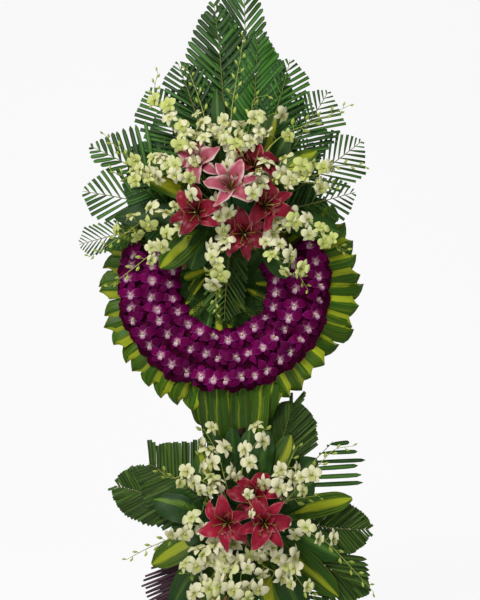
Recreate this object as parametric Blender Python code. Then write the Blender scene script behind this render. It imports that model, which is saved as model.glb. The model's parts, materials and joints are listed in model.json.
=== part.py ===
"""A two-tier standing funeral wreath: an orchid ring on a collar of folded leaves, with an upper and
a lower tier of palm fronds, lilies and white orchids, on a wooden tripod that leans back.

Metres, +Z up, the front faces -Y. Everything but the rear leg and its stretcher is laid out in the
leaning plane of the mast: x runs across, "depth" runs through the plane (negative is forward) and
"height" runs up along the mast from the floor.
"""

import math

import bmesh
import bpy
from mathutils import Matrix, Vector

# Driving dimensions
LEAN = math.radians(9.0)
FOOT_Y = -0.215
GAP = 0.0003
PIN_STEM = 0.003
LEAF_THICKNESS = 0.003

# Stand
MAST_X = 0.005
MAST_WIDTH = 0.035
MAST_DEPTH = 0.028
MAST_FOOT_HEIGHT = 0.30
MAST_TOP_HEIGHT = 1.44
LEG_WIDTH = 0.030
LEG_DEPTH = 0.024
LEG_JOINT_HEIGHT = 0.50
LEG_SPREAD = 0.26
REAR_FOOT_Y = 0.385
REAR_JOINT_HEIGHT = 1.33
REAR_JOINT_TOP = 1.392
REAR_LEG_DEPTH = 0.028
SLAT_THICKNESS = 0.012
SLAT_WIDTH = 0.040
STRETCHER_Z = (0.130, 0.160)
STRETCHER_WIDTH = 0.012
BRACKET_THICKNESS = 0.003
BRACKET_HEIGHTS = (1.335, 1.380)
BRACKET_REACH = 0.052
SHELF_X = (-0.003, 0.067)
SHELF_THICKNESS = 0.015
SHELF_REACH = 0.092

# Slats: left and right ends and the height of the middle
SLATS = {
    "upper_slat": (-0.215, 0.225, 1.260),
    "middle_slat": (-0.235, 0.245, 0.880),
    "lower_slat": (-0.120, 0.170, 0.365),
    "bottom_rail": (-0.215, 0.225, 0.150),
}

# Ring, collar and orchid bed: centre (x, height), radii and depths
RING_CENTRE = (0.005, 1.073)
RING_INNER = 0.125
RING_OUTER = 0.300
RING_THICKNESS = 0.040
RING_STEPS = 36
COLLAR_CENTRE = (0.014, 1.076)
COLLAR_INNER = 0.262
COLLAR_NOTCH = 0.340
COLLAR_TIP = 0.372
COLLAR_THICKNESS = 0.010
COLLAR_ARCS = 3
ARC_SLIP = 0.0015
LEAVES_IN_ARC = 16
BED_CENTRE = (-0.005, 1.071)
BED_INNER = 0.135
BED_NECK = 0.236
BED_OUTER = 0.296
BED_DEPTH = 0.055
BED_SIDE = 0.022
BED_DOME_STEPS = 6
BED_STEPS = 9
BED_START = math.radians(152)
BED_END = math.radians(386)
BED_ARCS = ("left", "bottom", "right")

SLAT_FRONT = -GAP - SLAT_THICKNESS
RING_BACK = SLAT_FRONT - GAP
RING_FRONT = RING_BACK - RING_THICKNESS
COLLAR_BACK = RING_FRONT - GAP
COLLAR_FRONT = COLLAR_BACK - COLLAR_THICKNESS

# Floral foam bricks: centre (x, height), half width, half height, back and front depths
FOAM_HALF_WIDTH = 0.115
FOAM_HALF_HEIGHT = 0.055
UPPER_FOAM = {"x": 0.017, "height": 1.274, "back": COLLAR_FRONT - GAP, "front": COLLAR_FRONT - GAP - 0.078}
LOWER_FOAM = {"x": 0.047, "height": 0.426, "back": RING_BACK, "front": RING_BACK - 0.088}

# Stems in the bricks: how far behind a layer lies from the back of the brick
FROND_LAYERS = (0.005, 0.012)
LEAF_LAYER = 0.040
FRONT_LAYER = 0.059
SOCKET_LENGTH = 0.075
SPRAY_INSET = 0.006
LILY_INSERT = 0.025

# Blades: clipped leaflets down each side of a frond, their notches, where the blade is widest and the
# plain share at its foot and tip; points along a leaf and how far its widest place is pushed up
FROND_TEETH = 7
FROND_NOTCH = 0.72
FROND_WIDEST = 0.46
FROND_COLLAR = 0.02
LEAF_STEPS = 6
LEAF_SKEW = 0.8

# Flat foliage: root and tip (x, height) from the centre of the brick, width, layer, bare stem length
UPPER_FRONDS = {
    "upper_frond_top": ((0.010, 0.025), (0.034, 0.652), 0.17, FROND_LAYERS[0], 0.13),
    "upper_frond_top_left": ((-0.020, 0.025), (-0.053, 0.622), 0.16, FROND_LAYERS[1], 0.13),
    "upper_frond_right_high": ((0.050, 0.020), (0.273, 0.357), 0.15, FROND_LAYERS[1], 0.13),
    "upper_frond_right": ((0.085, 0.010), (0.368, 0.215), 0.14, FROND_LAYERS[0], 0.13),
    "upper_frond_left_high": ((-0.050, 0.020), (-0.239, 0.365), 0.15, FROND_LAYERS[0], 0.13),
    "upper_frond_left": ((-0.085, 0.010), (-0.400, 0.198), 0.14, FROND_LAYERS[1], 0.13),
    "upper_frond_left_low": ((-0.085, -0.015), (-0.422, 0.069), 0.12, FROND_LAYERS[0], 0.13),
    "upper_frond_left_hanging": ((-0.085, -0.030), (-0.423, -0.095), 0.07, FRONT_LAYER, 0.13),
    "centre_frond": ((0.005, -0.025), (-0.021, -0.300), 0.13, FROND_LAYERS[0], 0.05),
}
LOWER_FRONDS = {
    "lower_frond_left": ((-0.085, 0.010), (-0.356, 0.094), 0.14, FROND_LAYERS[0], 0.07),
    "lower_frond_left_low": ((-0.060, -0.025), (-0.223, -0.279), 0.13, FROND_LAYERS[0], 0.09),
    "lower_frond_top_right": ((0.030, 0.020), (0.141, 0.324), 0.17, FROND_LAYERS[1], 0.09),
    "lower_frond_right": ((0.085, 0.000), (0.350, -0.027), 0.12, FROND_LAYERS[0], 0.07),
    "lower_frond_right_low": ((0.070, -0.025), (0.343, -0.192), 0.13, FROND_LAYERS[1], 0.09),
}
UPPER_LEAVES = {
    "upper_leaf_left": ((-0.060, -0.025), (-0.199, -0.160), 0.055, FRONT_LAYER, 0.05),
    "upper_leaf_right": ((0.085, -0.010), (0.280, -0.042), 0.055, LEAF_LAYER, 0.05),
}
LOWER_LEAVES = {
    "lower_leaf_left": ((-0.085, 0.000), (-0.245, 0.054), 0.055, LEAF_LAYER, 0.04),
    "lower_leaf_left_low": ((-0.080, -0.020), (-0.248, -0.120), 0.055, LEAF_LAYER, 0.05),
    "lower_leaf_right_low": ((0.060, -0.020), (0.259, -0.205), 0.055, LEAF_LAYER, 0.06),
    "lower_leaf_right": ((0.085, 0.010), (0.300, 0.059), 0.055, LEAF_LAYER, 0.05),
}
RING_CARRIER = {"x": RING_CENTRE[0], "height": RING_CENTRE[1], "back": RING_BACK}
SKIRT_LEAF = ((0.025, -0.270), (0.035, -0.448), 0.11, 0.0234, 0.036)

# Sprays: root and tip (x, height) from the centre of the brick
UPPER_SPRAYS = {
    "upper_spray_top": ((0.000, 0.025), (0.028, 0.502)),
    "upper_spray_left": ((-0.075, 0.020), (-0.369, 0.216)),
    "upper_spray_right": ((0.085, 0.015), (0.376, 0.130)),
    "upper_spray_hanging": ((-0.010, -0.025), (-0.049, -0.283)),
    "upper_spray_hanging_right": ((0.070, -0.025), (0.208, -0.229)),
}
LOWER_SPRAYS = {
    "lower_spray_left": ((-0.080, 0.015), (-0.239, 0.147)),
    "lower_spray_hanging": ((-0.050, -0.025), (-0.154, -0.211)),
    "lower_spray_right": ((0.085, -0.010), (0.347, -0.138)),
}
SPRAY_BARE = 0.070
SPRAY_SIDES = 6

# Share of the way from the bare stem to the tip, and the spray's radius there
SPRAY_SWELL = ((0.08, 0.019), (0.3, 0.025), (0.55, 0.024), (0.75, 0.020), (0.9, 0.0125), (1.0, 0.004))

# Lilies: entry in the brick's front and throat, both (x, height) from the brick's centre, the
# throat's distance in front of the brick, the way it faces (x, height for 1 forward), and its turn.
# The petals spread through rings, each with its radius at a petal and between two petals
LILY_RADIUS = 0.075
LILY_NOTCH = 0.036
LILY_FUNNEL = 0.024
LILY_FUNNEL_RADIUS = 0.060
LILY_NECK = 0.45
PETAL_THICKNESS = 0.003
PETAL_RINGS = ((0.008, 0.008), (0.040, 0.028), (LILY_RADIUS, LILY_NOTCH))
LILY_SIDES = 12
SOCKET_MOUTH = 0.010
UPPER_LILIES = {
    "upper_lily_left_high": ((-0.062, 0.031), (-0.093, 0.114), 0.039, (-0.15, 0.20), 0.0),
    "upper_lily_centre": ((0.000, 0.000), (-0.002, 0.053), 0.104, (0.0, 0.08), 30.0),
    "upper_lily_right_high": ((0.048, 0.025), (0.058, 0.106), 0.049, (0.15, 0.20), 15.0),
    "upper_lily_left": ((-0.070, -0.005), (-0.092, -0.023), 0.074, (-0.15, 0.0), 30.0),
    "upper_lily_right": ((0.095, -0.012), (0.098, -0.009), 0.074, (0.15, 0.0), 0.0),
    "upper_lily_low": ((0.030, -0.030), (0.033, -0.073), 0.034, (0.0, -0.08), 0.0),
}
LOWER_LILIES = {
    "lower_lily_top": ((0.025, 0.025), (0.032, 0.060), 0.034, (0.0, 0.08), 0.0),
    "lower_lily_left": ((-0.035, -0.005), (-0.039, -0.008), 0.074, (-0.08, 0.0), 30.0),
    "lower_lily_right": ((0.050, -0.005), (0.056, -0.008), 0.106, (0.08, 0.0), 10.0),
}

# Colour, roughness and metallic value of each material
FINISHES = {
    "wood": ((0.42, 0.28, 0.16), 0.7, 0.0),
    "steel": ((0.55, 0.55, 0.56), 0.35, 1.0),
    "straw": ((0.45, 0.36, 0.18), 0.9, 0.0),
    "foam": ((0.10, 0.22, 0.10), 0.9, 0.0),
    "collar_leaf": ((0.16, 0.30, 0.03), 0.4, 0.0),
    "broad_leaf": ((0.14, 0.28, 0.05), 0.4, 0.0),
    "palm": ((0.03, 0.13, 0.04), 0.45, 0.0),
    "purple_orchid": ((0.25, 0.01, 0.18), 0.5, 0.0),
    "white_orchid": ((0.85, 0.86, 0.72), 0.5, 0.0),
    "lily": ((0.60, 0.08, 0.16), 0.5, 0.0),
}


def clear_scene():
    for old in list(bpy.data.objects):
        bpy.data.objects.remove(old)


def material(name, finish):
    """The object's own Principled material in one of the listed finishes."""
    colour, roughness, metallic = FINISHES[finish]
    made = bpy.data.materials.new(name)
    made.use_nodes = True
    shader = made.node_tree.nodes["Principled BSDF"]
    shader.inputs["Base Color"].default_value = (*colour, 1.0)
    shader.inputs["Roughness"].default_value = roughness
    shader.inputs["Metallic"].default_value = metallic
    return made


def skin(bm, rings, closed=False):
    """Joins rings of equally many points with quads; caps both ends unless the last meets the first."""
    rows = [[bm.verts.new(point) for point in ring] for ring in rings]
    pairs = list(zip(rows, rows[1:]))
    if closed:
        pairs.append((rows[-1], rows[0]))
    else:
        bm.faces.new(rows[0])
        bm.faces.new(rows[-1])
    for low, high in pairs:
        for i in range(len(low)):
            j = (i + 1) % len(low)
            bm.faces.new((low[i], low[j], high[j], high[i]))


def add(name, skins, finish, parent=None):
    """One object from one or more lists of rings, its faces pointing out."""
    bm = bmesh.new()
    for rings in skins:
        skin(bm, rings)
    return finish_object(name, bm, finish, parent)


def finish_object(name, bm, finish, parent):
    bmesh.ops.recalc_face_normals(bm, faces=bm.faces)
    mesh = bpy.data.meshes.new(name)
    bm.to_mesh(mesh)
    bm.free()
    made = bpy.data.objects.new(name, mesh)
    bpy.context.scene.collection.objects.link(made)
    made.parent = parent
    if finish:
        mesh.materials.append(material(name, finish))
    return made


def box(across, depths, heights):
    """Rings of a box from its ranges in x, depth and height."""
    corners = ((0, 0), (1, 0), (1, 1), (0, 1))
    return [[Vector((across[i], d, heights[k])) for i, k in corners] for d in depths]


def slab(outline, depths):
    """Rings of a flat piece: an (x, height) outline between two depths."""
    return [[Vector((x, d, height)) for x, height in outline] for d in depths]


def side_slab(outline, across):
    """Rings of a flat piece: a (y, z) outline between two x."""
    return [[Vector((x, y, z)) for y, z in outline] for x in across]


def leaning(depth, height):
    """World y and z of a point in the leaning plane."""
    y = FOOT_Y + depth * math.cos(LEAN) + height * math.sin(LEAN)
    return y, height * math.cos(LEAN) - depth * math.sin(LEAN)


# Stand


def build_mast(easel):
    across = (MAST_X - MAST_WIDTH / 2, MAST_X + MAST_WIDTH / 2)
    add("mast", [box(across, (0, MAST_DEPTH), (MAST_FOOT_HEIGHT, MAST_TOP_HEIGHT))], "wood", easel)


def build_front_leg(easel, name, side):
    """A batten from the mast's side to the floor, its ends cut along the mast and level."""
    joint_x = MAST_WIDTH / 2 + GAP
    run = Vector((LEG_SPREAD - joint_x, -LEG_JOINT_HEIGHT)).normalized()
    slope = -run.x / run.y
    half = LEG_WIDTH / 2 / -run.y
    rings = []
    for depth in (0.0, LEG_DEPTH):
        floor = depth * math.tan(LEAN)
        inner = LEG_SPREAD - half - floor * slope
        outer = LEG_SPREAD + half - floor * slope
        joint = [LEG_JOINT_HEIGHT - half / slope, LEG_JOINT_HEIGHT + half / slope]
        outline = ((joint_x, joint[1]), (joint_x, joint[0]), (inner, floor), (outer, floor))
        rings.append([Vector((MAST_X + side * x, depth, height)) for x, height in outline])
    add(name, [rings], "wood", easel)


def rear_leg_front(z):
    """World y of the rear leg's front edge at height z."""
    top_y, top_z = leaning(MAST_DEPTH + GAP, REAR_JOINT_HEIGHT)
    foot_y = REAR_FOOT_Y - REAR_LEG_DEPTH / 2
    return foot_y + (top_y - foot_y) * z / top_z


def build_rear_leg():
    """A batten whose top is cut to lie flat on the back of the mast."""
    joint_low = leaning(MAST_DEPTH + GAP, REAR_JOINT_HEIGHT)
    joint_high = leaning(MAST_DEPTH + GAP, REAR_JOINT_TOP)
    back_top = (rear_leg_front(joint_high[1]) + REAR_LEG_DEPTH, joint_high[1])
    feet = ((REAR_FOOT_Y - REAR_LEG_DEPTH / 2, 0.0), (REAR_FOOT_Y + REAR_LEG_DEPTH / 2, 0.0))
    outline = (joint_high, joint_low, feet[0], feet[1], back_top)
    add("rear_leg", [side_slab(outline, (MAST_X - MAST_WIDTH / 2, MAST_X + MAST_WIDTH / 2))], "wood")


def build_rear_stretcher():
    """A lath from the bottom rail to the rear leg, each end cut to its neighbour's slope."""
    outline = []
    for z in STRETCHER_Z:
        outline.append((rear_leg_front(z) - GAP, z))
    for z in reversed(STRETCHER_Z):
        outline.append((FOOT_Y + z * math.tan(LEAN), z))
    across = (MAST_X - STRETCHER_WIDTH / 2, MAST_X + STRETCHER_WIDTH / 2)
    add("rear_stretcher", [side_slab(outline, across)], "wood")


def build_bracket(easel):
    """A steel strap bent round the front and both sides of the mast and along the rear leg."""
    inner = MAST_WIDTH / 2 + GAP
    outer = inner + BRACKET_THICKNESS
    web = -GAP - BRACKET_THICKNESS
    outline = (
        (outer, BRACKET_REACH),
        (outer, web),
        (-outer, web),
        (-outer, BRACKET_REACH),
        (-inner, BRACKET_REACH),
        (-inner, -GAP),
        (inner, -GAP),
        (inner, BRACKET_REACH),
    )
    rings = [[Vector((MAST_X + x, depth, height)) for x, depth in outline] for height in BRACKET_HEIGHTS]
    add("top_bracket", [rings], "steel", easel)


def build_slats(easel):
    """Battens nailed across the front of the mast and the legs."""
    for name, (left, right, height) in SLATS.items():
        heights = (height - SLAT_WIDTH / 2, height + SLAT_WIDTH / 2)
        add(name, [box((left, right), (SLAT_FRONT, -GAP), heights)], "wood", easel)


def build_shelf(easel):
    top = LOWER_FOAM["height"] - FOAM_HALF_HEIGHT - GAP
    depths = (RING_BACK - SHELF_REACH, RING_BACK)
    add("foam_shelf", [box(SHELF_X, depths, (top - SHELF_THICKNESS, top))], "wood", easel)


# Ring, collar and orchid bed


def around(centre, radius, angle):
    return centre[0] + radius * math.cos(angle), centre[1] + radius * math.sin(angle)


def build_ring_base(easel):
    """A straw ring of eight-sided section, and the leaf that hangs from a socket in its lower rim."""
    edge = RING_THICKNESS / 4
    profile = (
        (RING_INNER + edge, RING_BACK),
        (RING_OUTER - edge, RING_BACK),
        (RING_OUTER, RING_BACK - edge),
        (RING_OUTER, RING_FRONT + edge),
        (RING_OUTER - edge, RING_FRONT),
        (RING_INNER + edge, RING_FRONT),
        (RING_INNER, RING_FRONT + edge),
        (RING_INNER, RING_BACK - edge),
    )
    rings = []
    for i in range(RING_STEPS):
        turn = 2 * math.pi * i / RING_STEPS
        ring = []
        for radius, depth in profile:
            x, height = around(RING_CENTRE, radius, turn)
            ring.append(Vector((x, depth, height)))
        rings.append(ring)
    bm = bmesh.new()
    skin(bm, rings, closed=True)
    base = finish_object("ring_base", bm, "straw", easel)
    socket = build_flat_piece(easel, "skirt_leaf", SKIRT_LEAF, RING_CARRIER, leaf_outline, "broad_leaf")
    cut(base, [socket], easel)


def build_collar(easel):
    """Arcs of folded leaves: a plate whose outer edge runs from tip to notch and back."""
    span = 2 * math.pi / COLLAR_ARCS
    pitch = (span - 2 * ARC_SLIP) / LEAVES_IN_ARC
    inner_steps = LEAVES_IN_ARC // 2
    for arc in range(COLLAR_ARCS):
        start = math.pi / 2 + arc * span + ARC_SLIP
        outline = [around(COLLAR_CENTRE, COLLAR_NOTCH, start)]
        for i in range(LEAVES_IN_ARC):
            outline.append(around(COLLAR_CENTRE, COLLAR_TIP, start + (i + 0.5) * pitch))
            outline.append(around(COLLAR_CENTRE, COLLAR_NOTCH, start + (i + 1) * pitch))
        for i in range(inner_steps, -1, -1):
            outline.append(around(COLLAR_CENTRE, COLLAR_INNER, start + 2 * i * pitch))
        rings = slab(outline, (COLLAR_FRONT, COLLAR_BACK))
        add(f"collar_leaves_{arc + 1}", [rings], "collar_leaf", easel)


def build_orchid_bed(easel):
    """Rounded arcs that stand for the rows of orchid heads: a neck on the ring, then a domed pad."""
    under = COLLAR_FRONT - GAP
    profile = [(BED_INNER, COLLAR_BACK), (BED_NECK, COLLAR_BACK), (BED_NECK, under), (BED_OUTER, under)]
    middle = (BED_INNER + BED_OUTER) / 2
    half = (BED_OUTER - BED_INNER) / 2
    for i in range(1, BED_DOME_STEPS):
        turn = math.pi * i / BED_DOME_STEPS
        rise = BED_SIDE + (BED_DEPTH - BED_SIDE) * math.sin(turn)
        profile.append((middle + half * math.cos(turn), RING_FRONT - rise))
    span = (BED_END - BED_START) / len(BED_ARCS)
    for k, name in enumerate(BED_ARCS):
        rings = []
        for i in range(BED_STEPS + 1):
            angle = BED_START + k * span + ARC_SLIP + (span - 2 * ARC_SLIP) * i / BED_STEPS
            ring = []
            for radius, depth in profile:
                x, height = around(BED_CENTRE, radius, angle)
                ring.append(Vector((x, depth, height)))
            rings.append(ring)
        add(f"orchid_bed_{name}", [rings], "purple_orchid", easel)


# Foliage


def mirrored(right, length):
    """An outline from its right half: up the right side, over the tip and down the left side."""
    return right + [(0.0, length)] + [(-x, y) for x, y in reversed(right)]


def frond_outline(length, width, bare):
    """A stem, then a blade with clipped leaflets, whose half width follows an arc of an ellipse."""
    right = [(PIN_STEM, 0.0), (PIN_STEM, bare)]
    blade = length - bare
    for i in range(FROND_TEETH):
        for share, reach in ((i / FROND_TEETH, FROND_NOTCH), ((i + 0.8) / FROND_TEETH, 1.0)):
            curve = math.sqrt(1 - ((share - FROND_WIDEST) / (1 - FROND_WIDEST)) ** 2)
            along = bare + blade * (FROND_COLLAR + (1 - 2 * FROND_COLLAR) * share)
            right.append((PIN_STEM + reach * curve * (width / 2 - PIN_STEM), along))
    return mirrored(right, length)


def leaf_outline(length, width, bare):
    """A stem, then a smooth pointed blade."""
    right = [(PIN_STEM, 0.0), (PIN_STEM, bare)]
    for i in range(1, LEAF_STEPS):
        share = i / LEAF_STEPS
        bulge = math.sin(math.pi * share ** LEAF_SKEW)
        right.append((PIN_STEM + (width / 2 - PIN_STEM) * bulge, bare + (length - bare) * share))
    return mirrored(right, length)


def build_flat_piece(easel, name, place, carrier, outline_of, finish):
    """A flat frond or leaf; returns its socket in the brick or ring that carries it."""
    root, tip, width, layer, bare = place
    run = Vector((tip[0] - root[0], tip[1] - root[1]))
    half = LEAF_THICKNESS / 2
    piece = add(name, [slab(outline_of(run.length, width, bare), (-half, half))], finish, easel)
    piece.location = (carrier["x"] + root[0], carrier["back"] - layer, carrier["height"] + root[1])
    piece.rotation_euler = (0, math.atan2(run.x, run.y), 0)
    turn = Matrix.Translation(piece.location) @ piece.rotation_euler.to_matrix().to_4x4()
    reach = PIN_STEM + GAP
    socket = box((-reach, reach), (-half - GAP, half + GAP), (-GAP, SOCKET_LENGTH))
    return [[turn @ point for point in ring] for ring in socket]


# Flowers


def round_rings(path, radii, sides, reference):
    """Rings round a path: each lies across the path's mean direction at its point."""
    rings = []
    for i, centre in enumerate(path):
        ahead = path[min(i + 1, len(path) - 1)] - centre
        behind = centre - path[max(i - 1, 0)]
        run = (ahead.normalized() + behind.normalized()).normalized()
        u = reference.cross(run).normalized()
        v = run.cross(u)
        ring = []
        for k in range(sides):
            angle = 2 * math.pi * k / sides
            ring.append(centre + radii[i] * (math.cos(angle) * u + math.sin(angle) * v))
        rings.append(ring)
    return rings


def build_spray(easel, name, place, brick):
    """A stem that swells into its flowers and thins to its buds; returns its socket."""
    depth = brick["front"] + SPRAY_INSET
    root = Vector((brick["x"] + place[0][0], depth, brick["height"] + place[0][1]))
    tip = Vector((brick["x"] + place[1][0], depth, brick["height"] + place[1][1]))
    run = tip - root
    along = run.normalized()
    flowers = run.length - SPRAY_BARE
    path = [root, root + along * SPRAY_BARE]
    path += [root + along * (SPRAY_BARE + flowers * share) for share, _ in SPRAY_SWELL]
    radii = [PIN_STEM, PIN_STEM] + [radius for _, radius in SPRAY_SWELL]
    back = Vector((0, 1, 0))
    add(name, [round_rings(path, radii, SPRAY_SIDES, back)], "white_orchid", easel)
    wide = (PIN_STEM + GAP) / math.cos(math.pi / SPRAY_SIDES)
    return round_rings([root - along * GAP, path[1]], [wide, wide], SPRAY_SIDES, back)


def funnel(radius):
    """Forward rise of the flower at a distance from its throat."""
    return LILY_FUNNEL * (1 - (1 - radius / LILY_FUNNEL_RADIUS) ** 2)


def build_lily(easel, name, place, brick):
    """A bent stem that opens into six petals; returns its socket."""
    entry, throat, ahead, facing, turn = place
    face = brick["front"]
    inner = Vector((brick["x"] + entry[0], face + LILY_INSERT, brick["height"] + entry[1]))
    at_face = Vector((inner.x, face - PIN_STEM, inner.z))
    centre = Vector((brick["x"] + throat[0], face - ahead, brick["height"] + throat[1]))
    axis = Vector((facing[0], -1.0, facing[1])).normalized()
    neck = centre - axis * ahead * LILY_NECK
    rings = round_rings([inner, at_face, neck, centre], [PIN_STEM] * 4, LILY_SIDES, Vector((1, 0, 0)))
    u = Vector((1, 0, 0)).cross(axis).normalized()
    v = axis.cross(u)
    back = [(tip, notch, 0.0) for tip, notch in PETAL_RINGS]
    front = [(tip, notch, PETAL_THICKNESS) for tip, notch in reversed(PETAL_RINGS)]
    for tip, notch, rise in back + front:
        ring = []
        for k in range(LILY_SIDES):
            radius = notch if k % 2 else tip
            angle = math.tau * k / LILY_SIDES + math.radians(turn)
            spread = radius * (math.cos(angle) * u + math.sin(angle) * v)
            ring.append(centre + spread + axis * (funnel(radius) + rise))
        rings.append(ring)
    add(name, [rings], "lily", easel)
    wide = (PIN_STEM + GAP) / math.cos(math.pi / LILY_SIDES)
    outside = at_face + Vector((0, -SOCKET_MOUTH, 0))
    return round_rings([inner + Vector((0, GAP, 0)), outside], [wide, wide], LILY_SIDES, Vector((1, 0, 0)))


# Bricks


def cut(body, sockets, easel):
    """Cuts the sockets out of a body, which keeps the cut as a modifier."""
    cutter = add(f"{body.name}_sockets", sockets, None, easel)
    cutter.hide_render = True
    cutter.display_type = "WIRE"
    holes = body.modifiers.new("sockets", "BOOLEAN")
    holes.operation = "DIFFERENCE"
    holes.solver = "EXACT"
    holes.object = cutter


def build_brick(easel, name, brick, sockets):
    across = (brick["x"] - FOAM_HALF_WIDTH, brick["x"] + FOAM_HALF_WIDTH)
    heights = (brick["height"] - FOAM_HALF_HEIGHT, brick["height"] + FOAM_HALF_HEIGHT)
    body = add(name, [box(across, (brick["front"], brick["back"]), heights)], "foam", easel)
    cut(body, sockets, easel)


def build_tier(easel, name, brick, fronds, leaves, sprays, lilies):
    """Everything that is pushed into one brick, then the brick with their sockets."""
    sockets = []
    for piece, place in fronds.items():
        sockets.append(build_flat_piece(easel, piece, place, brick, frond_outline, "palm"))
    for piece, place in leaves.items():
        sockets.append(build_flat_piece(easel, piece, place, brick, leaf_outline, "broad_leaf"))
    for piece, place in sprays.items():
        sockets.append(build_spray(easel, piece, place, brick))
    for piece, place in lilies.items():
        sockets.append(build_lily(easel, piece, place, brick))
    build_brick(easel, name, brick, sockets)


def build_wreath():
    clear_scene()
    easel = bpy.data.objects.new("easel", None)
    bpy.context.scene.collection.objects.link(easel)
    easel.location = (0, FOOT_Y, 0)
    easel.rotation_euler = (-LEAN, 0, 0)
    build_mast(easel)
    build_front_leg(easel, "front_leg_left", -1)
    build_front_leg(easel, "front_leg_right", 1)
    build_rear_leg()
    build_rear_stretcher()
    build_bracket(easel)
    build_slats(easel)
    build_shelf(easel)
    build_ring_base(easel)
    build_collar(easel)
    build_orchid_bed(easel)
    build_tier(easel, "upper_foam", UPPER_FOAM, UPPER_FRONDS, UPPER_LEAVES, UPPER_SPRAYS, UPPER_LILIES)
    build_tier(easel, "lower_foam", LOWER_FOAM, LOWER_FRONDS, LOWER_LEAVES, LOWER_SPRAYS, LOWER_LILIES)


build_wreath()
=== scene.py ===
# %% [markdown]
# # A standing funeral wreath
#
# The real thing is a florist's stand: a wooden tripod leans back a little and carries a straw ring
# and two bricks of wet foam. Folded leaves, orchid heads, palm fronds, lilies and long sprays of white
# orchids are pinned or pushed in until nothing of the stand shows from the front.
# Almost everything here is a blade: a leaf, a leaflet, a petal. So this lesson builds one good
# function for blades, one for stems, and one that lays copies, and makes the wreath with those.
# The wooden and steel pieces come ready from the frame and only get better materials.

# %% Load the frame
import json
import math
from collections import namedtuple

import bpy
import numpy as np
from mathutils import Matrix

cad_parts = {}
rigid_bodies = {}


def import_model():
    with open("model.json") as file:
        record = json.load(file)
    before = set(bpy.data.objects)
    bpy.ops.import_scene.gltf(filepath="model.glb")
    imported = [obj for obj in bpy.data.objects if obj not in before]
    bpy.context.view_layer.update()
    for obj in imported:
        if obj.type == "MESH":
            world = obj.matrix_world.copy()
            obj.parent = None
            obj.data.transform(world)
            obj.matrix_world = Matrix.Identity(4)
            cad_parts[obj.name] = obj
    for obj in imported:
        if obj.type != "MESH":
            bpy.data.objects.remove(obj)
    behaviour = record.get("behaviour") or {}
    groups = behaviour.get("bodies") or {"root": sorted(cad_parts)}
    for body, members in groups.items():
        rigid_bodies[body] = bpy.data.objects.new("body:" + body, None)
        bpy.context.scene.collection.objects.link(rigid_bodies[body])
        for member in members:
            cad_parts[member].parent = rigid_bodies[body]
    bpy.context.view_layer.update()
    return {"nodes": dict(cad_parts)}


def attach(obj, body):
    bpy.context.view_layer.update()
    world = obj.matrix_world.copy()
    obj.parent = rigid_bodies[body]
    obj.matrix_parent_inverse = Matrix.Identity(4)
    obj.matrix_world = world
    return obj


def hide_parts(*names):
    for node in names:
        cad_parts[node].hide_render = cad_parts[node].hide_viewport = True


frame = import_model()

print("frame loaded:", len(frame["nodes"]), "nodes")

# %% [markdown]
# ## The leaning plane
# The mast leans back nine degrees, and everything on it leans too. It is far easier to place a flower
# by how far right, how far back and how far up along the mast it is. Those three numbers are called
# (x, depth, height) below, with a negative depth towards the viewer. One function turns them into
# world places, and its opposite reads the frame's solids in the same numbers.

# %% Turn the leaning plane into the world and back
LEAN = math.radians(9.0)
FOOT_Y = -0.215
FORWARD = np.array([0.0, -1.0, 0.0])
UP = np.array([0.0, 0.0, 1.0])
RIGHT = np.array([1.0, 0.0, 0.0])


def to_world(points):
    """Turns (x, depth, height) back by the lean about the x axis, then moves it to the mast's foot."""
    x, depth, height = np.moveaxis(np.asarray(points, float), -1, 0)
    y = FOOT_Y + depth * math.cos(LEAN) + height * math.sin(LEAN)
    return np.stack([x, y, height * math.cos(LEAN) - depth * math.sin(LEAN)], axis=-1)


def around(centre, angle, radius, depth):
    """Points of the leaning plane at an angle and a radius from a centre; angles turn from right to up."""
    x = centre[0] + radius * np.cos(angle)
    return np.stack([x, np.broadcast_to(depth, x.shape), centre[2] + radius * np.sin(angle)], axis=-1)


def plane_points(node):
    """The corners of a frame solid as (x, depth, height): the same turn, the other way."""
    mesh = frame["nodes"][node].data
    flat = np.empty(len(mesh.vertices) * 3)
    mesh.vertices.foreach_get("co", flat)
    x, y, z = flat.reshape(-1, 3).T
    y = y - FOOT_Y
    depth = y * math.cos(LEAN) - z * math.sin(LEAN)
    return np.stack([x, depth, y * math.sin(LEAN) + z * math.cos(LEAN)], axis=-1)


def plane_box(node):
    """Lowest and highest (x, depth, height) of a frame solid."""
    points = plane_points(node)
    return points.min(axis=0), points.max(axis=0)


def stem_run(node, hub):
    """Root and tip of a long solid: the tip is its corner furthest from the hub, and the root is
    the mean of its corners furthest from that tip."""
    points = plane_points(node)
    away = np.linalg.norm(points - hub, axis=1)
    tip = points[away > away.max() - 0.004].mean(axis=0)
    back = np.linalg.norm(points - tip, axis=1)
    root = points[back > back.max() - 0.006].mean(axis=0)
    return root, tip


def brick_of(node):
    """Centre of a foam brick on its front face, as (x, depth, height)."""
    low, high = plane_box(node)
    middle = (low + high) / 2
    return np.array([middle[0], low[1], middle[2]])


def metres(*millimetres):
    """The tables of stems hold millimetres; this turns their points into metres."""
    return np.array(millimetres) / 1000


upper_brick = brick_of("upper_foam")
lower_brick = brick_of("lower_foam")


def own_brick(name):
    """The brick that a stem is pushed into, by the first word of its name."""
    return lower_brick if name.startswith("lower") else upper_brick


ring_low, ring_high = plane_box("ring_base")
ring_centre = (ring_low + ring_high) / 2
print("upper brick front", upper_brick.round(3), "lower brick front", lower_brick.round(3))
print("ring centre", ring_centre.round(3))

# %% [markdown]
# ## Camera, backdrop and light
# The picture was taken level, from about four metres, at the height of the ring. The camera looks
# straight along +Y and needs no shift. The backdrop is one swept sheet, a floor that curves up into
# a wall, so no line shows behind the leaves. Large soft lamps keep the shadows between leaves gentle.

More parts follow.
